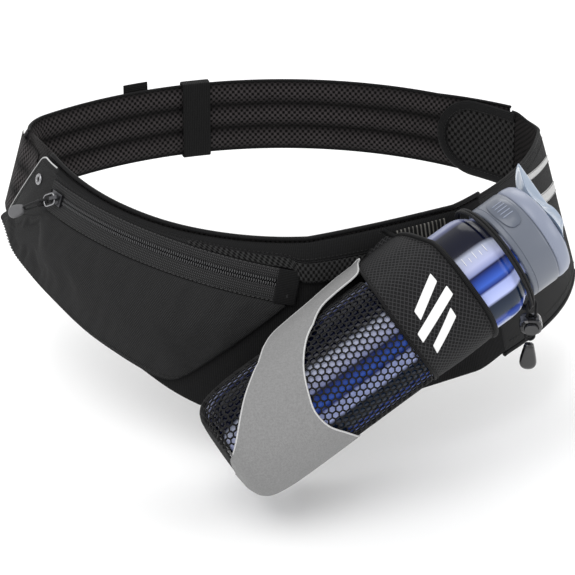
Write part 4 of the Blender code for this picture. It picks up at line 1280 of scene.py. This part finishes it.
def wing_place(u, v, off):
    turn = wing_turn(u)
    low = low_edge(turn)
    return ring_point(turn, low + (top_edge(turn) - 0.3 - low) * v, wing_out(turn) + off)


def build_wing():
    def crown(u, v):
        return min(1, 14 * v, 14 * (1 - v)) * min(1, 20 * u, 20 * (1 - u))

    wing = sheet("wing", 90, 26,
                 lambda u, v: wing_place(u, v, 2.0 + 0.6 * crown(u, v) + 0.12 * math.sin(31 * u + 9 * v)),
                 lambda u, v: wing_place(u, v, 0.6 - 0.6 * crown(u, v)), ("knit", "lining"))
    ridden(wing, "pack", "knit", "wing_panel")
    path = [wing_place(u, 0, 1.3) + Vector((0, 0, -1.6)) for u in spread(0, 1, 130)]
    bind("wing_edge", path, 1.6, 12, "wing_binding")
    path = [wing_place(u, 1, 1.3) + Vector((0, 0, 0.1)) for u in spread(0, 1, 130)]
    bind("wing_top_edge", path, 1.3, 12)
    for name, table, width, look in (
            ("stripe_upper", ((-31, 18), (-15, 11), (-2, 2), (14, -3.5)), 5.0, "reflective"),
            ("stripe_lower", ((-31, 0), (-15, -10), (-2, -19), (14, -25.5)), 8.0, "reflective")):
        def stripe(u, v, off, table=table, width=width):
            turn = -31 + 45 * u
            height = smooth_table(table, turn) + width * (v - 0.5)
            return ring_point(turn, height, wing_out(turn) + 2.75 + off)
        piece = slab(name + "_tape", 46, 4, stripe, 0.35, 0.02, look)
        ridden(piece, "pack", "reflective", name)
        runs = []
        for v in (0.1, 0.9):
            runs += stitch_runs([stripe(u, v, 0.42) for u in spread(0.01, 0.99, 120)], 1.5, 1.1)
        sew(name + "_stitches", runs, 0.2, "reflective")
    runs = []
    for v in (0.055, 0.95):
        runs += stitch_runs([wing_place(u, v, 2.72) for u in spread(0.02, 0.98, 260)], 2.0, 1.4)
    sew("wing_stitches", runs, 0.26, "knit")


TAB_OUT = -8.0
TAB_END = 61.0
TAB_MIDDLE = 2.25
TAB_REACH = 30.25


def tab_half_height(turn, inset=0.0):
    reach = TAB_REACH - inset
    to_end = math.radians(TAB_END - turn) * (BACK_RADIUS + TAB_OUT) - inset
    if to_end >= reach:
        return reach
    return math.sqrt(max(reach ** 2 - (reach - to_end) ** 2, 0.04))


def tab_place(u, v, off, inset=0.0):
    end = TAB_END - math.degrees(inset / (BACK_RADIUS + TAB_OUT))
    turn = 44.4 + (end - 44.4) * math.sin(math.pi / 2 * u)
    half = tab_half_height(turn, inset)
    return ring_point(turn, TAB_MIDDLE + half * (2 * v - 1), TAB_OUT + off)


def build_tab():
    def crown(u, v):
        return rounded(min(1, 9 * v, 9 * (1 - v), 9 * (1 - u)))

    tab = sheet("tab_pad", 46, 24, lambda u, v: tab_place(u, v, 1.7 + 0.9 * crown(u, v)),
                lambda u, v: tab_place(u, v, 0.4 - 0.35 * crown(u, v), 0.5),
                ("plain", "coarse_mesh"))
    ridden(tab, "pack", "air_mesh", "hook_tab")
    border = [(u, 1.0) for u in spread(0, 1, 50)] + [(u, 0.0) for u in spread(1, 0, 50)][1:]
    width = 7.5

    def rib(u, v, off):
        i = min(int(u * (len(border) - 1)), len(border) - 2)
        t = u * (len(border) - 1) - i
        a = tab_place(*border[i], off)
        b = tab_place(*border[i + 1], off)
        c = tab_place(*border[i], off, width)
        d = tab_place(*border[i + 1], off, width)
        return a.lerp(b, t).lerp(c.lerp(d, t), v)

    edging = sheet("tab_edging", 98, 6, lambda u, v: rib(u, v, -0.25),
                   lambda u, v: rib(u, v, -0.35 - 1.0 * rounded(min(1, 3 * v, 3 * (1 - v)))),
                   "binding")
    ridden(edging, "pack", "binding", "tab_binding")
    runs = stitch_runs([rib(u, 0.82, -1.35) for u in spread(0.01, 0.99, 200)], 1.8, 1.2)
    sew("tab_stitches", runs, 0.24, "binding")


def patch(name, low_turn, high_turn, half_height, middle, inner, outer, look):
    def place(u, v, out):
        return ring_point(low_turn + (high_turn - low_turn) * u, middle + half_height * (2 * v - 1), out)
    return slab(name, 18, 18, place, outer, inner, look)


# ---------------------------------------------------------------- strap

STRAP_INNER = -3.0
STRAP_OUTER = 2.6
KEEPER_TURN = 105.8
KEEPER_SPAN = 5.1
TAG_TURN = 116.4
TAG_SPAN = 4.4
STRAP_LINE = ((0, 190.0), (3.0, 189.2), (31.5, 134.7), (405.5, 47.5))


def strap_turn(u):
    return from_table(STRAP_LINE, u * STRAP_LINE[-1][0])


def strap_place(u, v, side):
    turn = strap_turn(u)
    rise = from_table(((47.5, 4.5), (62, 0)), turn)
    height = -28 + 56 * v
    height += rise * max(height, 0) / BELT_TOP
    middle = (STRAP_OUTER + STRAP_INNER) / 2
    tight = rounded(max(0, min(1, (turn - 80) / 8, (123 - turn) / 8)))
    thick = 0.45 + (2.9 - 0.3 * tight) * pad_profile(v, 3, 2.0)
    thick *= 0.45 + 0.55 * rounded(min(1, 50 * u, 50 * (1 - u)))
    edge = rounded(min(1, 16 * v, 16 * (1 - v)))
    return ring_point(turn, height, middle + side * thick * (0.35 + 0.65 * edge))


def build_strap():
    columns, rows = 130, 24
    strap = slab("quilted_strap", columns, rows, strap_place, 1, -1, ("outer_cloth", "air_mesh"), levels=0)
    pins = []
    for i in range(columns + 1):
        for j in range(rows + 1):
            if j in (0, 1, 8, 16, rows - 1, rows) or i < 2 or i > columns - 2:
                pins += [2 * (i * (rows + 1) + j), 2 * (i * (rows + 1) + j) + 1]
    padded(strap, pins, 1.6, 0.35)
    return strap


def finish_strap(strap):
    subdivide(strap)
    ridden(strap, "strap", "air_mesh", "back_strap")
    runs = []
    for v in (1 / 3, 2 / 3):
        for side in (1, -1):
            line = [strap_place(u, v, side * 1.3) for u in spread(0.01, 0.99, 420)]
            runs += stitch_runs(line, 2.2, 1.3)
    sew("strap_stitches", runs, 0.26, "air_mesh", "strap")
    for name, v in (("strap_edge_upper", 1.0), ("strap_edge_lower", 0.0)):
        line = [strap_place(u, v, 0) for u in spread(0, 1, 300)]
        bind(name, line, 1.15, 10, body="strap")
    ridden(patch("hook_side", 48, 57, 21, 0, STRAP_INNER - 1.0, STRAP_INNER - 0.3, "loop"),
           "strap", "hook_and_loop", "hook_patch")
    ridden(patch("loop_side", 46.5, 56.5, 21, 0, TAB_OUT + 2.9, TAB_OUT + 3.7, "loop"),
           "pack", "hook_and_loop", "loop_patch")
    build_keeper()
    build_tag()
    build_joint_cover()


def build_keeper():
    """Closed band round the strap with a seam along its middle."""
    def place(u, v, grow):
        height, out = keeper_section(u)
        up = max(-1, min(1, height / 28.5)) ** 9
        away = 1 if out > 0 else -1
        seam = 0.25 * math.exp(-(height / 1.2) ** 2)
        return ring_point(KEEPER_TURN - KEEPER_SPAN / 2 + KEEPER_SPAN * v, height + up * grow,
                          out + away * max(grow - seam * (grow > 0), 0))
    band = slab("keeper", 96, 10, place, 1.0, 0.05, "webbing", closed=True)
    ridden(band, "keeper", "webbing", "keeper_band")


def keeper_section(u):
    """Height and distance round the strap's section, with soft corners."""
    angle = 2 * math.pi * u
    c, s = math.cos(angle), math.sin(angle)
    return (29.6 * math.copysign(abs(s) ** 0.22, s), -0.2 + 3.7 * math.copysign(abs(c) ** 0.22, c))


def build_tag():
    """Folded tag of webbing on the strap, standing above its top edge."""
    line = [(-14, 3.35), (0, 3.35), (20, 3.35), (30, 3.45), (33.2, 3.7), (34, 4.1), (33.2, 4.5),
            (30, 4.6), (20, 4.55), (0, 4.45), (-14, 4.4)]

    def place(u, v, off):
        x = v * (len(line) - 1)
        height = smooth_list([p[0] for p in line], x)
        out = smooth_list([p[1] for p in line], x)
        away = 1 if v < 0.5 else -1
        return ring_point(TAG_TURN - TAG_SPAN / 2 + TAG_SPAN * u, height, out - away * off)
    tag = slab("strap_tag", 8, 40, place, 0.36, 0.0, "webbing")
    ridden(tag, "strap", "webbing", "outer_loop")


def build_joint_cover():
    """Tape over the outside of the joint between pack and strap."""
    def place(u, v, off):
        turn = 203 - 16.5 * u
        out = -0.55 + 4.3 * (1 / (1 + math.exp(-(196 - turn) * 1.0)))
        return ring_point(turn if turn < 189.2 else turn - 360, -28.2 + 56.4 * v, out + off)
    cover = slab("joint_cover", 40, 16, place, 0.35, -0.3, "air_mesh")
    world(ring_point(-165, 0, 0))
    world(ring_point(189.4, 0, 0))
    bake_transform(cover)


# ---------------------------------------------------------------- pocket

# Across the pocket, a station is an angle round the bottle up to FLAP_FROM degrees, then ten
# for every point of the flap that leaves the bottle and lies on the belt.
FLAP_FROM = 62
FLAP = ((8.5, 39.8), (-3, 44.5), (-14, 47.0), (-21.5, 48.0), (-24.5, 52.5), (-23.5, 57))
GREY_LOW = ((-105, -13), (-40, -13), (-14, -9), (-2, -2), (8, 4.5), (22, 14), (36, 24), (50, 35),
            (60, 42.5), (66, 48.5), (72, 55.5), (78, 66), (81, 80), (84, 95), (88, 107),
            (92, 117), (99.5, 133), (104.5, 139))
GREY_HIGH = ((-105, 74), (-70, 68), (-52, 63), (-32, 55.5), (-15, 53), (-2, 54.5), (24, 62.5),
             (46, 74), (60, 84), (67, 92), (71.5, 101), (73.5, 112), (74.8, 124), (77, 130),
             (84, 134), (104.5, 141))
COLLAR_START = ((-150, 131), (-84, 131), (-28, 126), (4, 125), (36, 126.5), (79.5, 133),
                (104.5, 147), (114.5, 156.5), (122, 159))
COLLAR_RIM = ((-150, 176), (-86, 177), (-40, 176), (-6, 174.5), (22, 174.5), (58, 175), (72, 172),
              (89.5, 169.5), (104, 167), (122, 163))
END_SHRINK = ((-14, 0.30), (-3, 0.66), (-1.5, 0.77), (1.5, 0.865), (5, 0.925), (10, 0.96), (20, 0.99),
              (32, 1.0))


def section(station, radius, lift):
    """Forward and upper place across the pocket at a station."""
    if station <= FLAP_FROM:
        turn = math.radians(station)
        return Vector((radius * math.cos(turn), radius * math.sin(turn)))
    turn = math.radians(FLAP_FROM)
    lifted = [Vector((radius * math.cos(turn), radius * math.sin(turn)))]
    lifted += [Vector((x, y + lift)) for x, y in FLAP]
    return smooth_list(lifted, min((station - FLAP_FROM) / 10, len(FLAP)))


def section_out(station, radius, lift, off):
    """The same place moved square to the cloth."""
    step = section(station + 0.4, radius, lift) - section(station - 0.4, radius, lift)
    if step.length < 1e-6:
        step = section(station, radius, lift) - section(station - 0.8, radius, lift)
    step.normalize()
    return section(station, radius, lift) + Vector((step.y, -step.x)) * off


def grey_place(u, v, off):
    station = from_table(((0, -105), (0.5, 40), (0.6, 64), (0.8, 80), (1, 104.5)), u)
    low = smooth_table(GREY_LOW, station)
    high = smooth_table(GREY_HIGH, station)
    along = low + (high - low) * v ** 1.5
    place = section_out(station, SLEEVE_RADIUS + 2.0, 1.4, off)
    place *= smooth_table(END_SHRINK, along)
    folded = max(along, -3.3 - 0.05 * max(0, -3 - along))
    return bottle_point(folded - 0.8 * off * max(0, 1 - along / 6) if along < 6 else folded,
                        place.x, place.y)


def collar_place(station, along, off):
    place = section_out(station, SLEEVE_RADIUS + 1.0, 0.0, off)
    return bottle_point(along, place.x, place.y)


def reach_panel(along, forward, upper, out):
    """Distance from a pocket point straight back to the main panel's outer face."""
    distance = 0.0
    while distance < 120:
        point = bottle_point(along, forward - distance, upper)
        arm = point - FRONT_CENTRE
        turn = min(max(math.degrees(math.atan2(arm.y, arm.x)), -161), -1)
        face = ring_point(turn, min(point.z, 40), out)
        if (point - face).dot(Vector((arm.x, arm.y, 0))) <= 0:
            return distance
        distance += 0.5
    return distance


# Side nets: where they start and end along the pocket, how they taper, where they hang from it.
SIDE_FROM = 22
SIDE_TO = 128
SIDE_TAPER = 13
SIDE_BACK = -14
SIDE_STEPS = 24
SIDE_WIDTH = 40

NET_RADIUS = SLEEVE_RADIUS + 0.85
NET_END = [Vector(p) for p in ((-3.0, 17), (-3.0, 22), (-2.5, 26.5), (-0.8, 30.4), (2.0, 33.2),
                               (6, 35.2), (12, 36.6), (20, 37.4), (32, NET_RADIUS), (128, NET_RADIUS))]
NET_LENGTHS = running_lengths(NET_END)
NET_TURN = NET_LENGTHS[7]


def net_place(x, y):
    """x runs round the bottle from its back line, y from the middle of the pocket's end."""
    point, _ = polyline_at(NET_END, NET_LENGTHS, y)
    return bottle_polar(point.x, math.degrees(x / NET_RADIUS) - 180, point.y)


def net_is_shown(x, y):
    """The net stops just under the grey cloth and at the collar."""
    angle = math.degrees(x / NET_RADIUS) - 180
    along = y - NET_TURN + 20
    if -100 < angle < 58 and along < smooth_table(GREY_HIGH, angle) - 7:
        return angle > 8 and along < smooth_table(GREY_LOW, angle) + 7
    return True


def build_pocket():
    net = hex_net("pocket_net", net_place, 2 * math.pi * NET_RADIUS, NET_LENGTHS[-1], 4.55, 1.4,
                  "net", net_is_shown, True)
    ridden(net, "pack", "open_mesh", "pocket_sleeve")
    disc = ((-3.7, 0), (-3.7, 19), (-3.4, 23), (-2.6, 24), (-2.4, 20), (-2.4, 0))
    ridden(lathe("pocket_end", disc, bottle_frame(), "plain", 72, 60), "pack", "open_mesh")
    for name, upper, stood in (("side_net_upper", 37.4, "pocket_web_upper"),
                               ("side_net_lower", -37.4, "pocket_web_lower")):
        reaches = [reach_panel(s, SIDE_BACK, upper, 2.2) * min(1, (s - SIDE_FROM) / SIDE_TAPER)
                   for s in spread(SIDE_FROM, SIDE_TO, SIDE_STEPS)]

        def side_place(x, y, reaches=reaches, upper=upper):
            share = y / (SIDE_TO - SIDE_FROM) * SIDE_STEPS
            back = SIDE_BACK - smooth_list(reaches, min(share, SIDE_STEPS)) * x / SIDE_WIDTH
            return bottle_point(SIDE_FROM + y, back, upper)
        net = hex_net(name, side_place, SIDE_WIDTH, SIDE_TO - SIDE_FROM, 4.3, 1.35, "net")
        ridden(net, "pack", "knit", stood)
    grey = slab("grey_cloth", 150, 40, grey_place, 0.6, -0.5, "grey_cloth", levels=1)
    ridden(grey, "pack", "grey_cloth", "grey_panel")
    edge = [grey_place(u, 1, 0.15) for u in spread(0.0, 1, 300)]
    edge += [grey_place(1, v, 0.15) for v in spread(0.9, 0.0, 8)]
    edge += [grey_place(u, 0, 0.15) for u in spread(0.995, 0.36, 180)]
    ridden(tube("grey_edge", edge, 0.62, "light_edge", sides=8), "pack", "grey_cloth")
    build_collar()


def collar_station(u):
    return -150 + 272 * u


def collar_sheet(name, rows, low, high, outer, inner, look):
    """Strip of the collar between two shares of its width."""
    def place(u, v, off):
        station = collar_station(u)
        start = smooth_table(COLLAR_START, station)
        end = smooth_table(COLLAR_RIM, station)
        share = low + (high - low) * v
        puff = 0.4 * math.sin(math.pi * share) + 0.14 * math.sin(0.16 * station + 5 * share)
        return collar_place(station, start + (end - start) * share, off + (puff if off > 0 else 0))
    return slab(name, 140, rows, place, outer, inner, look)


def build_collar():
    ridden(collar_sheet("collar", 20, 0, 1, 0.7, -0.7, ("ripstop", "plain")), "pack", "ripstop",
           "pocket_collar")
    stations = [collar_station(u) for u in spread(0, 1, 260)]
    rim = [collar_place(a, smooth_table(COLLAR_RIM, a) + 1.2, 0.15) for a in stations]
    bind("collar_rim", rim, 1.8, 12, "collar_binding")
    side = [collar_place(122, along, 0.1) for along in spread(159, 163, 8)]
    bind("collar_side", side, 1.2, 10)
    runs = []
    for table, shift in ((COLLAR_RIM, -1.6), (COLLAR_START, 1.6)):
        runs += stitch_runs([collar_place(a, smooth_table(table, a) + shift, 1.15) for a in stations],
                            1.8, 1.2)
    sew("collar_stitches", runs, 0.26, "binding")
    hem = [collar_place(a, smooth_table(COLLAR_START, a), 0.3) for a in stations]
    bind("collar_hem", hem, 0.95, 10)
    for number, (low, high, shift) in enumerate(((136, 158, -18), (131.5, 164, 0), (138, 161, 18))):
        def bar(u, v, off, low=low, high=high, shift=shift):
            angle = -5 + shift + 10 * (u - 0.5) + 20 * (v - 0.5)
            return collar_place(angle, low + (high - low) * v, off)
        mark = slab(f"mark_bar_{number + 1}", 8, 16, bar, 1.45, 0.95, "print")
        ridden(mark, "pack", "reflective")


def build_fan():
    """Gathered elastic between the belt and the collar, in upright ridges."""
    ridges = 11

    def place(u, v, off):
        turn = -67 + 11 * u
        low = 4 + 3.0 * (1 - u)
        high = 20 - 3.0 * (1 - u)
        ridge = 0.7 * abs(math.sin(math.pi * ridges * u)) if off > 0 else 0
        return ring_point(turn, low + (high - low) * v, 5.0 + off * 0.4 + ridge)
    fan = slab("elastic_fan", 132, 6, place, 1, -1, "elastic")
    ridden(fan, "pack", "ribbed_elastic", "elastic_gusset")


# ---------------------------------------------------------------- bottle and cap

def build_bottle():
    wall = 1.4
    inner = BOTTLE_RADIUS - wall
    profile = ((0.2, 0), (0.2, 22), (1.0, 26), (3.2, 29.8), (7, 32.8), (12, 34.6), (20, 35.8),
               (30, BOTTLE_RADIUS), (60, BOTTLE_RADIUS), (62, 35.8), (66, 35.8),
               (68, BOTTLE_RADIUS), (120, BOTTLE_RADIUS), (194, BOTTLE_RADIUS),
               (198, 35.9), (201, 35.2), (203, 34.4), (206, 32.4), (208, 30.6), (210, 29.9),
               (222, 29.9), (222, 27.6), (208, 27.6), (202, 33.0), (196, inner), (30, inner),
               (20, 34.4), (12, 33.2), (7.4, 31.2), (4.2, 28.4), (2.4, 24.6), (1.8, 21), (1.8, 0))
    ridden(lathe("bottle", profile, bottle_frame(), "bottle"), "bottle", "bottle_plastic",
           "bottle_body")
    marks = []
    for k in range(5):
        at = 182 + 4 * k
        reach = 9 if k % 2 == 0 else 6
        marks.append([bottle_polar(at, a, BOTTLE_RADIUS + 0.05) for a in spread(14, 14 + reach, 4)])
    ridden(join_tubes("scale_marks", marks, 0.22, "print"), "bottle", "bottle_plastic")
    recolour("cap_seal", "seal")
    base = CAP_START
    top = base + CAP_LENGTH
    ring = ((base, 30.4), (base, 32.3), (base + 0.5, 33.0), (base + 1.5, CAP_RADIUS),
            (base + 3.2, CAP_RADIUS), (base + 3.6, 33.0), (base + 4.0, CAP_RADIUS),
            (base + 19.2, CAP_RADIUS), (base + 20.3, 33.0), (base + 21, 32.2), (base + 21, 26.6),
            (base + 11.6, 26.6), (base + 11.6, 30.4))
    ridden(lathe("cap_ring_body", ring, bottle_frame(), "cap"), "cap", "cap_plastic", "cap_ring")
    lid = ((base + 21.3, 26.8), (base + 21.3, 32.0), (base + 22, 32.7), (base + 23, 33.0),
           (base + 25.5, 33.0), (top - 3, 32.3), (top - 1, 30.9), (top, 29), (top, 6.6),
           (top - 2, 6.6), (top - 2, 26.8))
    ridden(lathe("cap_lid_body", lid, bottle_frame(), "lid"), "cap", "lid_plastic", "cap_lid")
    build_thumb_pad()
    spout = ((top - 8.4, 4.6), (top - 8.4, 8.2), (top - 7.4, 8.2), (top - 7.4, 6.2), (top + 3, 6.2),
             (top + 4, 5.6), (top + 6.2, 5.4), (top + 6.8, 4.8), (top + 6.8, 2.0), (top + 1, 2.0),
             (top - 1, 4.6))
    ridden(lathe("spout_valve", spout, bottle_frame(), "pale", 48), "spout", "pale_plastic", "spout")
    build_cover(top + 0.3)


def build_thumb_pad():
    """Raised oval pad on the cap ring, with short grip ribs."""
    def place(u, v, out):
        half = 26 * math.sqrt(max(1 - abs(2 * u - 1) ** 3.2, 0.02))
        dome = 0.5 * (1 - abs(2 * u - 1) ** 4) * (1 - abs(2 * v - 1) ** 4)
        return bottle_polar(CAP_START + 4.6 + 13.6 * u, 44 + half * (2 * v - 1),
                            CAP_RADIUS + (out + dome if out > 0.5 else out))
    pad = slab("thumb_rest", 20, 28, place, 0.75, 0.2, "pad", crease=40)
    ridden(pad, "cap", "lid_plastic", "thumb_pad")
    runs = [[bottle_polar(CAP_START + at, a, CAP_RADIUS + 1.3) for at in spread(7.5, 15.5, 6)]
            for a in (34, 39, 44, 49, 54)]
    ridden(join_tubes("thumb_ribs", runs, 0.4, "lid", 8), "cap", "lid_plastic")


def build_cover(start):
    """Pale cover with two high pointed lobes and two nearly flat ones, hollow underneath."""
    lobes = ((90, 42.5, 12.5), (-8, 31.0, 1.2), (178, 36.0, 8.0), (-95, 31.0, 1.0))
    foot, crown, peak = 24.0, 8.4, 13.4

    def place(s, angle, off):
        """s runs from the foot on the lid out to the rim of the lobes, then in over the crown."""
        reach = foot + 1.5
        rise = 1.2
        for at, tip, high in lobes:
            gap = abs((angle - at + 180) % 360 - 180)
            share = math.exp(-(gap / 19.0) ** 1.6)
            reach += share * (tip - foot - 1.5)
            rise += share * (high - 1.2)
        if s < 0.3:
            t = s / 0.3
            radius = foot + (reach - foot) * t ** 1.2
            along = 0.3 + (rise - 0.3) * t
        elif s < 0.82:
            t = (s - 0.3) / 0.52
            radius = crown + (reach - crown) * (1 - t) ** 1.25
            along = rise + (peak - 1.2 - rise) * t ** 1.3
        else:
            t = (s - 0.82) / 0.18
            radius = crown * max(1 - t, 0) ** 0.8
            along = peak - 1.2 + 1.4 * math.sin(math.pi / 2 * t)
        ripple = 0.5 * math.sin(math.radians(angle) * 15) * math.sin(math.pi * min(s / 0.82, 1))
        radius = max(radius + ripple - off, 0.15)
        return bottle_polar(start + along - off * 0.8 * min(1, s * 3), angle, radius)

    cover = sheet("cover", 144, 34, lambda u, v: place(v, 360 * u, 0.0),
                  lambda u, v: place(v, 360 * u, 1.3), "pale", closed=True)
    ridden(cover, "cover", "pale_plastic", "dust_cover")


# ---------------------------------------------------------------- retention cord

TAIL_ANGLE = -74.0
TAIL_HALF = 2.7
TAIL_LENGTH = 23.0


def tail_frame():
    centre = bottle_polar(CORD_AT, TAIL_ANGLE, CORD_RING_RADIUS)
    before = bottle_polar(CORD_AT, TAIL_ANGLE - 1, CORD_RING_RADIUS)
    swing = (centre - before).normalized()
    down = Vector((0, 0, -1))
    swing = (swing - down * swing.dot(down)).normalized()
    cross = down.cross(swing)
    return centre, down, cross


def build_cords():
    for name, shift, out in (("cord_ring_first", -1.15, 0.05), ("cord_ring_second", 1.0, -0.25)):
        path = [bottle_polar(CORD_AT + shift + 0.25 * math.sin(math.radians(3 * a)), a,
                             CORD_RING_RADIUS + out) for a in spread(0, 360, 120)[:-1]]
        piece = tube(name, path, 1.05, "cord", True, 10)
        ridden(piece, "pack", "elastic_cord", *(("cord_ring",) if shift < 0 else ()))
    recolour("cord_anchor", "webbing")
    centre, down, cross = tail_frame()
    path = [centre + down * (x + TAIL_LENGTH / 2 - 0.7) + cross * y for x, y in
            round_outline(TAIL_LENGTH + 2 * TAIL_HALF, 2 * TAIL_HALF, TAIL_HALF, 8)]
    ridden(tube("cord_tail_loop", path, 0.95, "cord", True, 10), "tail", "elastic_cord", "cord_tail")
    outline = [(0, 2.6), (2, 3.2), (4, 3.7), (10, 5.1), (14.5, 5.8), (17, 5.2), (18.8, 3.6), (19.6, 1.6)]
    outline += [(x, -y) for x, y in reversed(outline)]
    start = centre + down * (TAIL_LENGTH + TAIL_HALF + 1.4)
    heights = ((-3.2, 0.6), (-2.8, 0.8), (-1.8, 0.96), (0, 1), (1.8, 0.96), (2.8, 0.8), (3.2, 0.6))
    pull = prism("tail_pull", outline, (start, down, cross, down.cross(cross)), heights,
                 "black_plastic", 0)
    ridden(subdivide(pull), "tail", "black_plastic", "cord_pull")
    for name in ("cord_lock_body", "cord_lock_plunger"):
        recolour(name, "black_plastic")
        round_off(name, 3, 0.6)


# ---------------------------------------------------------------- stage

def build_stage():
    floor_look, _, shader = new_material("floor_look")
    shader.inputs["Base Color"].default_value = (0.95, 0.95, 0.95, 1)
    shader.inputs["Roughness"].default_value = 0.9
    mesh = bpy.data.meshes.new("floor")
    mesh.from_pydata([(-6, -6, 0), (6, -6, 0), (6, 6, 0), (-6, 6, 0)], [], [(0, 1, 2, 3)])
    floor = bpy.data.objects.new("floor", mesh)
    mesh.materials.append(floor_look)
    bpy.context.scene.collection.objects.link(floor)
    world_look = bpy.data.worlds.new("studio")
    bpy.context.scene.world = world_look
    world_look.use_nodes = True
    world_look.node_tree.nodes["Background"].inputs[0].default_value = (1, 1, 1, 1)
    world_look.node_tree.nodes["Background"].inputs[1].default_value = 0.95
    for name, place, size, power in (("key_light", (-0.7, -0.8, 1.9), 1.6, 15),
                                     ("side_light", (1.5, -0.5, 0.9), 1.0, 5),
                                     ("back_light", (0.1, 1.6, 1.5), 1.4, 9)):
        light = bpy.data.lights.new(name, 'AREA')
        light.shape = 'DISK'
        light.size = size
        light.energy = power
        lamp = bpy.data.objects.new(name, light)
        lamp.location = place
        aim = Vector((0, 0, 0.09)) - lamp.location
        lamp.rotation_euler = aim.to_track_quat('-Z', 'Y').to_euler()
        bpy.context.scene.collection.objects.link(lamp)
    camera = bpy.data.cameras.new("camera")
    camera.lens = 109.27
    camera.sensor_width = 36
    camera.clip_start = 0.01
    eye = bpy.data.objects.new("camera", camera)
    eye.location = (-0.005120, -1.062742, 0.645330)
    eye.rotation_euler = (math.radians(90 - SIGHT_ANGLE), 0, 0)
    bpy.context.scene.collection.objects.link(eye)
    bpy.context.scene.camera = eye
    bpy.context.scene.view_settings.view_transform = 'Standard'


build_front()
pouch_piece = build_pouch()
strap_piece = build_strap()
run_cloth()
finish_pouch(pouch_piece)
finish_strap(strap_piece)
build_end()
build_band()
build_zip()
build_zip_end()
build_slider()
build_wing()
build_tab()
build_pocket()
build_fan()
build_bottle()
build_cords()
recolour("eyelet_washer", "bright_metal")
build_stage()
